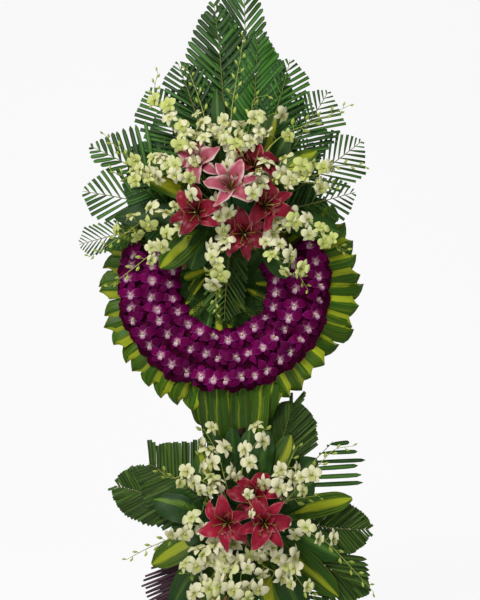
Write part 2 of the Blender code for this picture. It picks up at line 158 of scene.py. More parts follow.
# %% Set up the camera
CAMERA_X = 0.0392
CAMERA_Z = 1.0304
CAMERA_DISTANCE = 4.0
RING_PLANE_Y = -0.106
HALF_VIEW_HEIGHT = 0.84

camera_data = bpy.data.cameras.new("camera")
camera_data.sensor_fit = "VERTICAL"
camera_data.angle = 2 * math.atan(HALF_VIEW_HEIGHT / CAMERA_DISTANCE)
camera_data.clip_end = 50.0
camera = bpy.data.objects.new("camera", camera_data)
bpy.context.scene.collection.objects.link(camera)
camera.location = (CAMERA_X, RING_PLANE_Y - CAMERA_DISTANCE, CAMERA_Z)
camera.rotation_euler = (math.radians(90), 0, 0)
bpy.context.scene.camera = camera
bpy.context.scene.view_settings.view_transform = "Standard"
print("camera at", tuple(round(c, 3) for c in camera.location))

# %% [markdown]
# ## Lamps
# A sun lamp would draw hard edges under every petal. Square area lamps a metre or more wide give the
# soft shade of a bright room: a strong one from the upper left, and weaker ones that fill the right,
# the back and the foot. A lamp shines along its own -Z axis, so a function turns that to its aim.

# %% Set up the lamps
def soft_lamp(name, place, aim, size, watts):
    """A square lamp at a place, turned so that its -Z axis points at the aim."""
    data = bpy.data.lights.new(name, "AREA")
    data.size = size
    data.energy = watts
    lamp = bpy.data.objects.new(name, data)
    bpy.context.scene.collection.objects.link(lamp)
    lamp.location = place
    run = np.array(aim, float) - np.array(place, float)
    flat = math.hypot(run[0], run[1])
    lamp.rotation_euler = (math.atan2(flat, -run[2]), 0, math.atan2(-run[0], run[1]))
    return lamp


soft_lamp("key_lamp", (-1.5, -3.0, 4.1), (0.0, -0.1, 1.1), 1.2, 120)
soft_lamp("fill_lamp", (2.6, -3.0, 1.6), (0.0, -0.1, 0.9), 2.2, 16)
soft_lamp("back_lamp", (0.6, 2.6, 3.4), (0.0, 0.0, 1.0), 2.0, 28)
soft_lamp("low_lamp", (-0.7, -2.4, 0.4), (0.0, -0.1, 0.45), 1.2, 11)
world = bpy.data.worlds.new("studio")
world.use_nodes = True
world.node_tree.nodes["Background"].inputs["Color"].default_value = (1.0, 1.0, 1.0, 1.0)
world.node_tree.nodes["Background"].inputs["Strength"].default_value = 0.16
bpy.context.scene.world = world
print("lamps:", sum(o.type == "LIGHT" for o in bpy.data.objects))

# %% [markdown]
# ## Blades, stems and copies
# A leaf could be a flat plane with a cut-out picture, but a picture has no edge and no fold. Here a
# blade is worked out with numpy. A middle line runs from root to tip; across it, at every step, lies
# a row of points from one edge to the other, lifted for folds and waves. The back is the same row
# pushed back a little, so each blade is a thin closed shell whose faces point outwards.
# Working on whole arrays makes a hundred leaflets as quick as one.

# %% Join rings of points into closed shells
Shell = namedtuple("Shell", "points quads place slots")


def unit(vectors):
    """Vectors at length one."""
    vectors = np.asarray(vectors, float)
    return vectors / np.maximum(np.linalg.norm(vectors, axis=-1, keepdims=True), 1e-12)


def dice(name):
    """Random numbers that are the same each run, because they grow from the piece's name."""
    return np.random.default_rng(list(name.encode()))


def close_rings(rings, place, slot=0):
    """Shells from rings (shell, row, side, xyz): quads join each ring to the next one, and a fan of
    quads closes the first and the last ring. Place holds (across, along, tint) of every point."""
    shells, rows, sides = rings.shape[:3]
    grid = np.arange(shells * rows * sides).reshape(shells, rows, sides)
    ahead = np.roll(grid, -1, axis=2)
    walls = np.stack([grid[:, :-1], ahead[:, :-1], ahead[:, 1:], grid[:, 1:]], axis=-1)
    first = np.arange(1, sides - 1, 2)
    fan = np.stack([np.zeros_like(first), first, first + 1, first + 2], axis=-1)
    ends = [grid[:, -1][:, fan], grid[:, 0][:, fan[:, ::-1]]]
    quads = np.concatenate([part.reshape(-1, 4) for part in (walls, *ends)])
    place = np.broadcast_to(place, rings.shape)
    return Shell(rings.reshape(-1, 3), quads, place.reshape(-1, 3), np.full(len(quads), slot))


def join(shells):
    """One shell from several: each one's corner numbers are moved past those before it."""
    starts = np.cumsum([0] + [len(s.points) for s in shells[:-1]])
    quads = np.concatenate([s.quads + start for s, start in zip(shells, starts)])
    points, places, slots = (np.concatenate([getattr(s, k) for s in shells])
                             for k in ("points", "place", "slots"))
    return Shell(points, quads, places, slots)


def numbers(shells, rows, across, tint):
    """The three numbers that materials read at every point: across, along and tint."""
    place = np.empty((shells, rows, len(across), 3))
    place[..., 0] = across
    place[..., 1] = np.linspace(0, 1, rows)[:, None]
    place[..., 2] = np.broadcast_to(tint, shells)[:, None, None]
    return place


print("shell tools ready")

# %% [markdown]
# ## A blade and a stem
# A curve object with a bevel could draw a stem, but its two ends and its tint would be harder to set.
# So both makers work the same way: directions along, across and out are found at each point of the
# path, and rings of points are laid out in them.

# %% Lay a blade or a stem along a path
def frames(path, facing):
    """Along, across and out directions at each point of a path: along follows the path, across is
    square to it and to the facing, and out is square to both."""
    along = unit(np.gradient(path, axis=-2))
    across = unit(np.cross(along, np.broadcast_to(facing, along.shape)))
    return along, across, np.cross(across, along)


def blade(path, half_width, lift=0.0, facing=FORWARD, thick=0.0006, columns=3, tint=0.5, slot=0):
    """Thin blades on paths (shell, row, xyz). A point sits at path + s * half width * across
    + lift * out, for s from -1 to 1; the inner points of the back lie one thickness behind."""
    path = path if path.ndim == 3 else path[None]
    shells, rows = path.shape[:2]
    s = np.linspace(-1, 1, columns)
    _, across, out = frames(path, facing)
    half_width = np.broadcast_to(half_width, (shells, rows))
    lift = np.broadcast_to(lift, (shells, rows, columns))
    front = path[:, :, None] + (half_width[..., None] * s)[..., None] * across[:, :, None]
    front = front + lift[..., None] * out[:, :, None]
    back = (front - thick * out[:, :, None])[:, :, columns - 2:0:-1]
    place = numbers(shells, rows, np.concatenate([s, s[columns - 2:0:-1]]), tint)
    return close_rings(np.concatenate([front, back], axis=2), place, slot)


def stem(path, radius, sides=6, facing=(0.31, -0.92, 0.24), tint=0.5, slot=0):
    """Round stems on paths (shell, row, xyz): each ring is -cos * across + sin * out, times the
    radius, so it winds the same way as a blade's."""
    path = path if path.ndim == 3 else path[None]
    shells, rows = path.shape[:2]
    _, across, out = frames(path, facing)
    turn = np.arange(sides) * 2 * math.pi / sides
    ring = -np.cos(turn)[:, None] * across[:, :, None] + np.sin(turn)[:, None] * out[:, :, None]
    radius = np.broadcast_to(radius, (shells, rows))[..., None, None]
    return close_rings(path[:, :, None] + radius * ring, numbers(shells, rows, np.cos(turn), tint), slot)


def bend(root, middle, tip, rows):
    """A smooth arc from root to tip that is pulled towards the middle point: the three points are
    weighed by (1-t)^2, 2t(1-t) and t^2. Works on many arcs at once."""
    t = np.linspace(0, 1, rows)[:, None]
    root, middle, tip = (np.asarray(p, float)[..., None, :] for p in (root, middle, tip))
    return (1 - t) ** 2 * root + 2 * t * (1 - t) * middle + t ** 2 * tip


def spread(angles, out, rise):
    """Paths that leave the z axis at several angles: out is the way from the axis, rise the way up."""
    angles = np.reshape(angles, (len(angles), -1))
    x = np.cos(angles) * out
    return np.stack([x, np.sin(angles) * out, np.broadcast_to(rise, x.shape)], axis=-1)


def profile(t, shares, widths):
    """A width that follows a short list: widths are read off between the shares."""
    return np.interp(t, shares, widths)


print("blade and stem tools ready")

# %% [markdown]
# ## Copies and finished pieces
# Hundreds of flowers as separate objects would be slow to handle. Here all the copies of a flower on
# one stem go into one mesh: its points are turned and moved in numpy. The finished piece is put into
# the world, smoothed and tied to the stand, and the frame's solids that it stands for are hidden.

# %% Place copies and make the finished piece
def look(facing, up, scale=1.0):
    """Axes of copies (n, 3, 3): the third is the facing, the first is square to it and to up, the
    second completes them; all are stretched by the scale."""
    facing = unit(facing)
    first = unit(np.cross(up, facing))
    second = np.cross(facing, first)
    return np.stack([first, second, facing], axis=-1) * np.reshape(scale, (-1, 1, 1))


def copies(shell, axes, seats, tints=None):
    """Copies of a shell: each point is turned by its copy's axes and moved to its copy's seat."""
    points = np.einsum("kij,nj->kni", axes, shell.points) + seats[:, None]
    count = len(seats)
    quads = shell.quads[None] + (np.arange(count) * len(shell.points))[:, None, None]
    place = np.repeat(shell.place[None], count, axis=0).copy()
    if tints is not None:
        place[..., 2] = np.asarray(tints)[:, None]
    return Shell(points.reshape(-1, 3), quads.reshape(-1, 4), place.reshape(-1, 3),
                 np.tile(shell.slots, count))


PIECES = []
SHARP_EDGE = math.radians(60)


def finish_piece(name, shell, materials, nodes=(), sharp=SHARP_EDGE):
    """Turns a shell in the leaning plane into a named object in the world, smooth but for its rims."""
    mesh = bpy.data.meshes.new(name)
    count = len(shell.quads)
    mesh.vertices.add(len(shell.points))
    mesh.vertices.foreach_set("co", to_world(shell.points).ravel())
    mesh.loops.add(count * 4)
    mesh.loops.foreach_set("vertex_index", shell.quads.ravel())
    mesh.polygons.add(count)
    mesh.polygons.foreach_set("loop_start", np.arange(count) * 4)
    mesh.polygons.foreach_set("material_index", shell.slots)
    mesh.update(calc_edges=True)
    place = mesh.attributes.new("place", "FLOAT_VECTOR", "POINT")
    place.data.foreach_set("vector", shell.place.ravel())
    mesh.shade_smooth()
    mesh.set_sharp_from_angle(angle=sharp)
    for made in materials:
        mesh.materials.append(made)
    piece = bpy.data.objects.new(name, mesh)
    bpy.context.scene.collection.objects.link(piece)
    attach(piece, "root")
    if nodes:
        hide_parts(*nodes)
    PIECES.append((name, count * 2))
    return piece


print("piece maker ready")

# %% [markdown]
# ## The backdrop
# The floor and the wall are one sheet: a straight run, a quarter circle, a straight run up. It is
# staged, so it is not part of the wreath. Its paper glows, brightly where the camera sees it and
# softly where it lights the leaves, so the background is an even near-white.

# %% Sweep the backdrop
BACKDROP_HALF_WIDTH = 7.0
FLOOR_FRONT = -7.0
FLOOR_BACK = 2.2
CURVE_RADIUS = 1.6
WALL_TOP = 6.0


def sweep_backdrop():
    """A floor line, a quarter circle and a wall line, carried from left to right."""
    turn = np.linspace(0, math.pi / 2, 17)
    wall = FLOOR_BACK + CURVE_RADIUS
    y = np.concatenate([[FLOOR_FRONT], FLOOR_BACK + CURVE_RADIUS * np.sin(turn), [wall]])
    z = np.concatenate([[0.0], CURVE_RADIUS * (1 - np.cos(turn)), [WALL_TOP]])
    left = np.stack([np.full_like(y, -BACKDROP_HALF_WIDTH), y, z], axis=-1)
    right = left * (-1, 1, 1)
    rows = len(y)
    i = np.arange(rows - 1)
    quads = np.stack([i, i + rows, i + rows + 1, i + 1], axis=-1)
    mesh = bpy.data.meshes.new("backdrop")
    mesh.from_pydata(np.concatenate([left, right]).tolist(), [], quads.tolist())
    mesh.shade_smooth()
    return bpy.data.objects.new("backdrop", mesh)


backdrop = sweep_backdrop()
bpy.context.scene.collection.objects.link(backdrop)
PAPER_GLOW_SEEN = 0.90
PAPER_GLOW_CAST = 0.30
paper = bpy.data.materials.new("backdrop_paper")
paper.use_nodes = True
paper_shader = paper.node_tree.nodes["Principled BSDF"]
for key, value in {"Base Color": (0.10, 0.10, 0.10, 1.0), "Roughness": 0.9, "Specular IOR Level": 0.0,
                   "Emission Color": (1.0, 1.0, 1.0, 1.0)}.items():
    paper_shader.inputs[key].default_value = value
seen = paper.node_tree.nodes.new("ShaderNodeLightPath").outputs["Is Camera Ray"]
glow = paper.node_tree.nodes.new("ShaderNodeMath")
glow.operation = "MULTIPLY_ADD"
glow.inputs[1].default_value = PAPER_GLOW_SEEN - PAPER_GLOW_CAST
glow.inputs[2].default_value = PAPER_GLOW_CAST
paper.node_tree.links.new(seen, glow.inputs[0])
paper.node_tree.links.new(glow.outputs[0], paper_shader.inputs["Emission Strength"])
backdrop.data.materials.append(paper)
print("backdrop swept")

# %% [markdown]
# ## Shader tools
# Every blade carries three numbers at each point: how far across it is (-1 to 1), how far along
# (0 to 1), and a tint that is different for each leaf or flower. Materials read them as an
# attribute called place, so veins and stripes follow the leaf wherever it is bent or laid.
# A small helper adds nodes and lets their outputs be added and multiplied like numbers. Node groups
# hold what several materials share: leaf colours, petal colours, fibres, a lime tint and freckles.


# %% A helper that adds shader nodes
class Value:
    """A node's output that can be reckoned with: each sign below adds one Math node."""

    def __init__(self, graph, socket):
        self.graph = graph
        self.socket = socket

    def __add__(self, other):
        return self.graph.math("ADD", self, other)

    def __radd__(self, other):
        return self.graph.math("ADD", other, self)

    def __sub__(self, other):
        return self.graph.math("SUBTRACT", self, other)

    def __rsub__(self, other):
        return self.graph.math("SUBTRACT", other, self)

    def __mul__(self, other):
        return self.graph.math("MULTIPLY", self, other)

    def __abs__(self):
        return self.graph.math("ABSOLUTE", self)


class Graph:
    """Adds nodes to a tree; each method returns the new node's output as a Value."""

    def __init__(self, tree):
        self.tree = tree

    def link(self, value, socket):
        """Joins an output to an input socket."""
        self.tree.links.new(value.socket, socket)

    def add(self, kind, inputs=(), output=0, **settings):
        """One node: inputs are numbers or other nodes' outputs, settings are its menus."""
        node = self.tree.nodes.new(kind)
        for key, value in settings.items():
            setattr(node, key, value)
        for key, value in dict(inputs).items():
            if isinstance(value, Value):
                self.link(value, node.inputs[key])
            else:
                node.inputs[key].default_value = value
        return Value(self, node.outputs[output])

    def math(self, operation, a, b=0.0):
        return self.add("ShaderNodeMath", {0: a, 1: b}, operation=operation)

    def mix(self, share, a, b, blend="MIX"):
        """The share 0 gives colour a and 1 gives colour b."""
        return self.add("ShaderNodeMix", {0: share, 6: a, 7: b}, 2, data_type="RGBA", blend_type=blend)

    def dim(self, colour, shade):
        """A colour times a brightness."""
        return self.mix(1.0, colour, self.vector(shade, shade, shade), "MULTIPLY")

    def step(self, value, low, high):
        """0 below low, 1 above high, and smooth between."""
        inputs = {"Value": value, "From Min": low, "From Max": high}
        return self.add("ShaderNodeMapRange", inputs, interpolation_type="SMOOTHSTEP")

    def clamp(self, value):
        """The value kept between 0 and 1."""
        return self.add("ShaderNodeClamp", {"Value": value})

    def vector(self, x, y, z=0.0):
        return self.add("ShaderNodeCombineXYZ", {0: x, 1: y, 2: z})

    def noise(self, vector, scale=1.0, detail=2.0):
        return self.add("ShaderNodeTexNoise", {"Vector": vector, "Scale": scale, "Detail": detail})

    def streaks(self, across, along, count, length, shift):
        """Noise in long streaks: count is how many cross the blade, length how many follow each other."""
        return self.noise(self.vector(across * count, along * length, shift), detail=3.0)

    def place(self):
        """Across, along and tint of the blade."""
        spot = self.add("ShaderNodeAttribute", output="Vector", attribute_name="place")
        split = self.tree.nodes.new("ShaderNodeSeparateXYZ")
        self.link(spot, split.inputs[0])
        return [Value(self, socket) for socket in split.outputs]


def rgb(code):
    """A colour from its hex code, as the linear values that shaders use."""
    parts = np.array([int(code[i:i + 2], 16) for i in (1, 3, 5)]) / 255
    linear = np.where(parts <= 0.04045, parts / 12.92, ((parts + 0.055) / 1.055) ** 2.4)
    return (*linear.clip(0, 1), 1.0)


SOCKET_KINDS = {1: "NodeSocketFloat", 3: "NodeSocketVector", 4: "NodeSocketColor"}


def make_group(name, inputs, outputs):
    """An empty node group with named sockets, whose kinds follow from how many numbers each holds.
    Returns the group, its graph, its inputs and its end."""
    group = bpy.data.node_groups.new(name, "ShaderNodeTree")
    for key, value in inputs.items():
        kind = SOCKET_KINDS[np.size(value)]
        group.interface.new_socket(key, in_out="INPUT", socket_type=kind).default_value = value
    for key, size in outputs.items():
        group.interface.new_socket(key, in_out="OUTPUT", socket_type=SOCKET_KINDS[size])
    graph = Graph(group)
    start = group.nodes.new("NodeGroupInput")
    end = group.nodes.new("NodeGroupOutput")
    return group, graph, {socket.name: Value(graph, socket) for socket in start.outputs}, end.inputs


COLOUR_AND_HEIGHT = {"Color": 4, "Height": 1}
COLOUR_ONLY = {"Color": 4}
print("shader helper ready")

# %% [markdown]
# ## Leaf colours
# A dracaena leaf is dark green with a lime or yellow stripe whose border runs in streaks along the
# leaf, over fine parallel veins. The palm, the fern and the buds are calmer versions of the same
# thing, so one group serves them all: a stripe with a centre and a width, streaks, veins, and a
# change of brightness from leaf to leaf.


# %% The group for leaves
def leaf_group():
    """A stripe round its centre with streaked edges, threads, veins, and a tint for each leaf."""
    inputs = {"Dark": rgb("#1F4A18"), "Light": rgb("#9DB81A"), "Stripe Centre": 0.0, "Stripe Width": 0.3,
              "Stripe Softness": 0.2, "Vein Count": 12.0, "Variation": 0.35, "Streaks": 0.8}
    group, g, given, end = make_group("leaf_colours", inputs, COLOUR_AND_HEIGHT)
    across, along, tint = g.place()
    shift = tint * 31.0
    wander = (g.noise(g.vector(shift, along * 2.0)) - 0.5) * 0.8
    distance = abs(across + wander - given["Stripe Centre"])
    streak = g.streaks(across, along, 9.0, 1.3, shift)
    width = given["Stripe Width"] * (0.65 + tint * 0.7)
    softness = given["Stripe Softness"]
    stripe = 1.0 - g.step(distance + (streak - 0.5) * 0.55, width - softness, width + softness)
    thread = g.streaks(across, along, 17.0, 0.8, shift)
    stripe = g.clamp(stripe + (thread - 0.5) * given["Streaks"])
    vein = abs(g.math("SINE", across * (given["Vein Count"] * math.pi)))
    drift = g.noise(g.vector(shift, along, across), 1.7) - 0.5
    shade = 0.86 + vein * 0.14 + (tint - 0.5 + drift) * given["Variation"]
    g.link(g.dim(g.mix(stripe, given["Dark"], given["Light"]), shade), end["Color"])
    g.link(vein + streak, end["Height"])
    return group


LEAF_COLOURS = leaf_group()
print("group", LEAF_COLOURS.name)

# %% [markdown]
# ## Petal colours
# A petal has a heart colour at its base, a body colour, and a rim that is paler or darker, with fine
# veins fanning along it. The lilies, the purple orchids and the white ones all fit this, with their
# own colours, so it is a second group.


# %% The group for petals
def petal_group():
    """A heart at the base, a body and a rim, their borders clouded, with streaks along the petal."""
    inputs = {"Heart": rgb("#F2DCEB"), "Body": rgb("#6E0A66"), "Rim": rgb("#8E1B8A"), "Heart Reach": 0.3,
              "Rim Start": 0.6, "Vein Depth": 0.2, "Variation": 0.3}
    group, g, given, end = make_group("petal_colours", inputs, COLOUR_AND_HEIGHT)
    across, along, tint = g.place()
    shift = tint * 23.0
    cloud = (g.noise(g.vector(across * 1.5, along * 3.0, shift), 1.6) - 0.5) * 0.35
    heart = 1.0 - g.step(along + cloud, 0.0, given["Heart Reach"])
    side = g.step(abs(across) + cloud, given["Rim Start"], 1.05)
    tip = g.step(along + cloud, 0.82, 1.1)
    rim = g.mix(g.math("MAXIMUM", side, tip), given["Body"], given["Rim"])
    streak = g.streaks(across, along, 11.0, 1.5, shift)
    shade = 1.0 + (streak - 0.55) * given["Vein Depth"] + (tint - 0.5) * given["Variation"]
    g.link(g.dim(g.mix(heart, rim, given["Heart"]), shade), end["Color"])
    g.link(streak, end["Height"])
    return group


PETAL_COLOURS = petal_group()
print("group", PETAL_COLOURS.name)

# %% [markdown]
# ## Fibre and grain
# Wood, straw, twine and foam do not follow a blade. Their pattern comes from Object coordinates,
# stretched along the fibres: noise that is long one way and short the other two.


# %% The group for wood and straw
def grain_group():
    """Fine and broad fibres mixed, from a dark colour to a light one."""
    inputs = {"Stretch": (40.0, 40.0, 3.0), "Dark": rgb("#5A3A20"), "Light": rgb("#A07848"), "Contrast": 1.4}
    group, g, given, end = make_group("grain_colours", inputs, COLOUR_AND_HEIGHT)
    spot = g.add("ShaderNodeTexCoord", output="Object")
    fibre = g.add("ShaderNodeVectorMath", {0: spot, 1: given["Stretch"]}, operation="MULTIPLY")
    fine = g.noise(fibre, 1.0, 4.0)
    share = (fine * 0.6 + g.noise(fibre, 0.28) * 0.4 - 0.5) * given["Contrast"] + 0.5
    g.link(g.mix(g.clamp(share), given["Dark"], given["Light"]), end["Color"])
    g.link(fine, end["Height"])
    return group


GRAIN_COLOURS = grain_group()
print("group", GRAIN_COLOURS.name)

# %% [markdown]
# ## Materials from the groups
# A material is one group, a bump that reads its height, and a Principled shader. The pattern is made
# once in the group, and each material only sets its own colours and numbers on it, so a new kind of
# leaf costs a line or two. A second group can be put between the first and the shader.

# %% Functions that make a material from a group
LIGHT_DEPTH = (0.004, 0.003, 0.002)
BUMP_STRENGTH = 0.6


def finish(name, group, values, roughness=0.5, bump=0.0004, metallic=0.0, shine=0.2, soft=0.0):
    """A Principled material whose colour and bump come from a group, with its own values."""
    made = bpy.data.materials.new(name)
    made.use_nodes = True
    tree = made.node_tree
    shader = tree.nodes["Principled BSDF"]
    node = tree.nodes.new("ShaderNodeGroup")
    node.node_tree = group
    ridges = tree.nodes.new("ShaderNodeBump")
    surface = {"Roughness": roughness, "Metallic": metallic, "Specular IOR Level": shine,
               "Subsurface Weight": soft, "Subsurface Radius": LIGHT_DEPTH}
    relief = {"Strength": BUMP_STRENGTH, "Distance": bump}
    for target, settings in ((node, values), (ridges, relief), (shader, surface)):
        for key, value in settings.items():
            target.inputs[key].default_value = value
    tree.links.new(node.outputs["Color"], shader.inputs["Base Color"])
    tree.links.new(node.outputs["Height"], ridges.inputs["Height"])
    tree.links.new(ridges.outputs["Normal"], shader.inputs["Normal"])
    return made


def leaf_finish(name, dark, light, centre=0.0, width=0.5, softness=0.5, veins=14.0, variation=0.35,
                roughness=0.36, bump=0.0004, streaks=0.8):
    """A leaf material: dark and light are hex codes, the stripe is measured across the blade."""
    values = {"Dark": rgb(dark), "Light": rgb(light), "Stripe Centre": centre, "Stripe Width": width,
              "Stripe Softness": softness, "Vein Count": veins, "Variation": variation, "Streaks": streaks}
    return finish(name, LEAF_COLOURS, values, roughness, bump)


def petal_finish(name, heart, body, rim, reach, rim_start, veins=0.2, variation=0.3, roughness=0.5,
                 bump=0.0003, soft=0.0, shine=0.2):
    """A petal material: heart, body and rim are hex codes."""
    values = {"Heart": rgb(heart), "Body": rgb(body), "Rim": rgb(rim), "Heart Reach": reach,
              "Rim Start": rim_start, "Vein Depth": veins, "Variation": variation}
    return finish(name, PETAL_COLOURS, values, roughness, bump, shine=shine, soft=soft)


def grain_finish(name, stretch, dark, light, roughness, bump, contrast=1.4, metallic=0.0):
    """A fibrous material: stretch says how fine its noise is along x, y and z, in waves a metre."""
    values = {"Stretch": stretch, "Dark": rgb(dark), "Light": rgb(light), "Contrast": contrast}
    return finish(name, GRAIN_COLOURS, values, roughness, bump, metallic)


def pass_through(made, group, values):
    """Leads a material's colour through one more group on its way to the shader."""
    tree = made.node_tree
    base = tree.nodes["Principled BSDF"].inputs["Base Color"]
    node = tree.nodes.new("ShaderNodeGroup")
    node.node_tree = group
    tree.links.new(base.links[0].from_socket, node.inputs["Color"])
    for key, value in values.items():
        node.inputs[key].default_value = value
    tree.links.new(node.outputs["Color"], base)


print("finishes ready")

# %% [markdown]
# ## The wooden stand
# The tripod is the frame's own: a mast, two splayed legs, a rear leg and battens of sawn pine. The
# shapes are right, so they keep their solids and only get grain. Grain runs along a batten, so there
# is one material for upright pieces, one for those that lie across and one for front to back.

# %% Give the stand its wood and steel
brushed_steel = grain_finish("brushed_steel", (30, 30, 400), "#8C8D90", "#B9BABD", 0.34, 0.0001, 0.8, 1.0)
CARRIED_OVER = {
    grain_finish("pine_upright", (90, 60, 5), "#7A5532", "#C09A66", 0.62, 0.0006):
        ("mast", "front_leg_left", "front_leg_right", "rear_leg"),
    grain_finish("pine_across", (5, 60, 90), "#6E4C2C", "#B78F5C", 0.62, 0.0006):
        ("upper_slat", "middle_slat", "lower_slat", "bottom_rail"),
    grain_finish("pine_front_to_back", (90, 5, 60), "#745030", "#BA9462", 0.62, 0.0006):
        ("rear_stretcher", "foam_shelf"),
    grain_finish("wet_foam", (420, 420, 420), "#12301A", "#2B5A30", 0.85, 0.0008):
        ("upper_foam", "lower_foam"),
    brushed_steel: ("top_bracket",),
}
for made, nodes in CARRIED_OVER.items():
    for node in nodes:
        frame["nodes"][node].data.materials.clear()
        frame["nodes"][node].data.materials.append(made)
print("stand finished:", sum(len(nodes) for nodes in CARRIED_OVER.values()), "nodes")

# %% [markdown]
# ## Screws
# The battens are screwed to the mast and the legs. A screw head is a shallow dome: a short profile
# turned about its own axis. All heads are copies of that one shell.

# %% Drive the screws
SCREW_RADIUS = 0.0042
SCREW_HEIGHT = 0.0018
SCREW_SINK = 0.0002
SCREW_TO_EDGE = 0.010
# Where each batten crosses the mast or the legs
CROSSINGS = {"bottom_rail": (-0.165, 0.175), "lower_slat": (-0.053, 0.063),
             "middle_slat": (-0.004, 0.014), "upper_slat": (-0.004, 0.014)}


def dome(radius, height, sides=12, rows=5):
    """A round head about the z axis: the radius follows a cosine and the rise a sine."""
    turn = np.linspace(0.0, math.pi / 2 * 0.92, rows)
    path = np.stack([np.zeros(rows), np.zeros(rows), height * np.sin(turn)], axis=-1)
    return stem(path, radius * np.cos(turn), sides, facing=(0.0, -1.0, 0.0))


def screw_seats():
    """Four screws on each batten: two crossings, and one near each edge at either."""
    seats = []
    for node, crossings in CROSSINGS.items():
        low, high = plane_box(node)
        for x in crossings:
            for height in (low[2] + SCREW_TO_EDGE, high[2] - SCREW_TO_EDGE):
                seats.append((x, low[1] + SCREW_SINK, height))
    return np.array(seats)


seats = screw_seats()
heads = copies(dome(SCREW_RADIUS, SCREW_HEIGHT), look(np.tile(FORWARD, (len(seats), 1)), UP), seats)
finish_piece("stand_screws", heads, [brushed_steel])
print("screws:", len(seats))

# %% [markdown]
# ## The straw ring and its twine
# Under the flowers lies a ring of bound straw, which shows from behind. A torus would be the quick
# way, but the ring is flat. Here a flattened band with rounded corners is carried round the circle
# and ruffled with fine waves, and one long helix of twine binds it.

# %% Bind the straw ring
RING_INNER = 0.125
RING_OUTER = 0.300
RING_INSET = 0.0025
RING_SQUARENESS = 0.55
STRAW_RUFFLE = 0.0016
TWINE_RADIUS = 0.0011
TWINE_TURNS = 40
POINTS_A_TURN = 28


def ring_section(turn, grow=0.0):
    """Radius and depth on the ring's band at a turn: a superellipse, squarer than an ellipse."""
    middle = (RING_INNER + RING_OUTER) / 2
    half = (RING_OUTER - RING_INNER) / 2 - RING_INSET + grow
    thick = (ring_high[1] - ring_low[1]) / 2 - RING_INSET + grow
    across, deep = (np.sign(way) * np.abs(way) ** RING_SQUARENESS for way in (np.cos(turn), np.sin(turn)))
    return middle + half * across, ring_centre[1] - thick * deep


def straw_ring():
    """The band on a grid of angle by section turn, moved out by two waves that run round it. The
    last row meets the first, so no cap is needed."""
    rows, sides = 240, 32
    angle = np.arange(rows)[:, None] * 2 * math.pi / rows
    turn = np.arange(sides)[None] * 2 * math.pi / sides
    tufts = np.sin(turn * 13 + np.sin(angle * 17) * 2) * 0.6 + np.sin(angle * 40 + turn * 5) * 0.4
    points = around(ring_centre, angle, *ring_section(turn, STRAW_RUFFLE * tufts))
    grid = np.arange(rows * sides).reshape(rows, sides)
    right, ahead = np.roll(grid, -1, axis=1), np.roll(grid, -1, axis=0)
    quads = np.stack([grid, ahead, np.roll(ahead, -1, axis=1), right], axis=-1).reshape(-1, 4)
    place = np.broadcast_to(0.5, points.shape).reshape(-1, 3)
    return Shell(points.reshape(-1, 3), quads, place, np.zeros(len(quads), int))


def ring_twine():
    """A helix round the band: the section turns forty times while the angle goes once round, almost."""
    share = np.linspace(0, 1, TWINE_TURNS * POINTS_A_TURN)
    section = ring_section(share * TWINE_TURNS * 2 * math.pi, TWINE_RADIUS * 0.8)
    return stem(around(ring_centre, share * 2 * math.pi * 0.995, *section), TWINE_RADIUS)


straw = grain_finish("straw", (70, 300, 70), "#6B5426", "#C4A55C", 0.8, 0.0012, 2.2)
twine = grain_finish("twine", (900, 900, 900), "#7C6A48", "#BFAE88", 0.85, 0.0003)
finish_piece("straw_ring", straw_ring(), [straw], ["ring_base"])
finish_piece("ring_twine", ring_twine(), [twine])
print("straw ring and twine:", PIECES[-2:])

# %% [markdown]
# ## The collar of folded leaves
# Forty-eight dracaena leaves are folded lengthwise and pinned side by side round the ring, each one
# over its neighbour's edge. Their folds point at the viewer, so one half catches the light and the
# other is dark: a lime flank and a green flank. Each is a blade with five columns whose middle
# column is lifted, and whose width falls to a point over the last sixth, which gives the zigzag rim.

# %% Fold and pin the collar
COLLAR_LEAVES = 48
COLLAR_ARCS = 3
COLLAR_START = math.radians(90)
FOLD_HEIGHT = 0.013
COLLAR_INNER = 0.205
SHORT_SIDE = math.radians(313)
SHORT_BY = 0.022
collar_boxes = [plane_box(f"collar_leaves_{k + 1}") for k in range(COLLAR_ARCS)]
collar_low = np.min([low for low, _ in collar_boxes], axis=0)
collar_high = np.max([high for _, high in collar_boxes], axis=0)
collar_centre = (collar_low + collar_high) / 2
collar_tip = (collar_high[0] - collar_low[0]) / 2


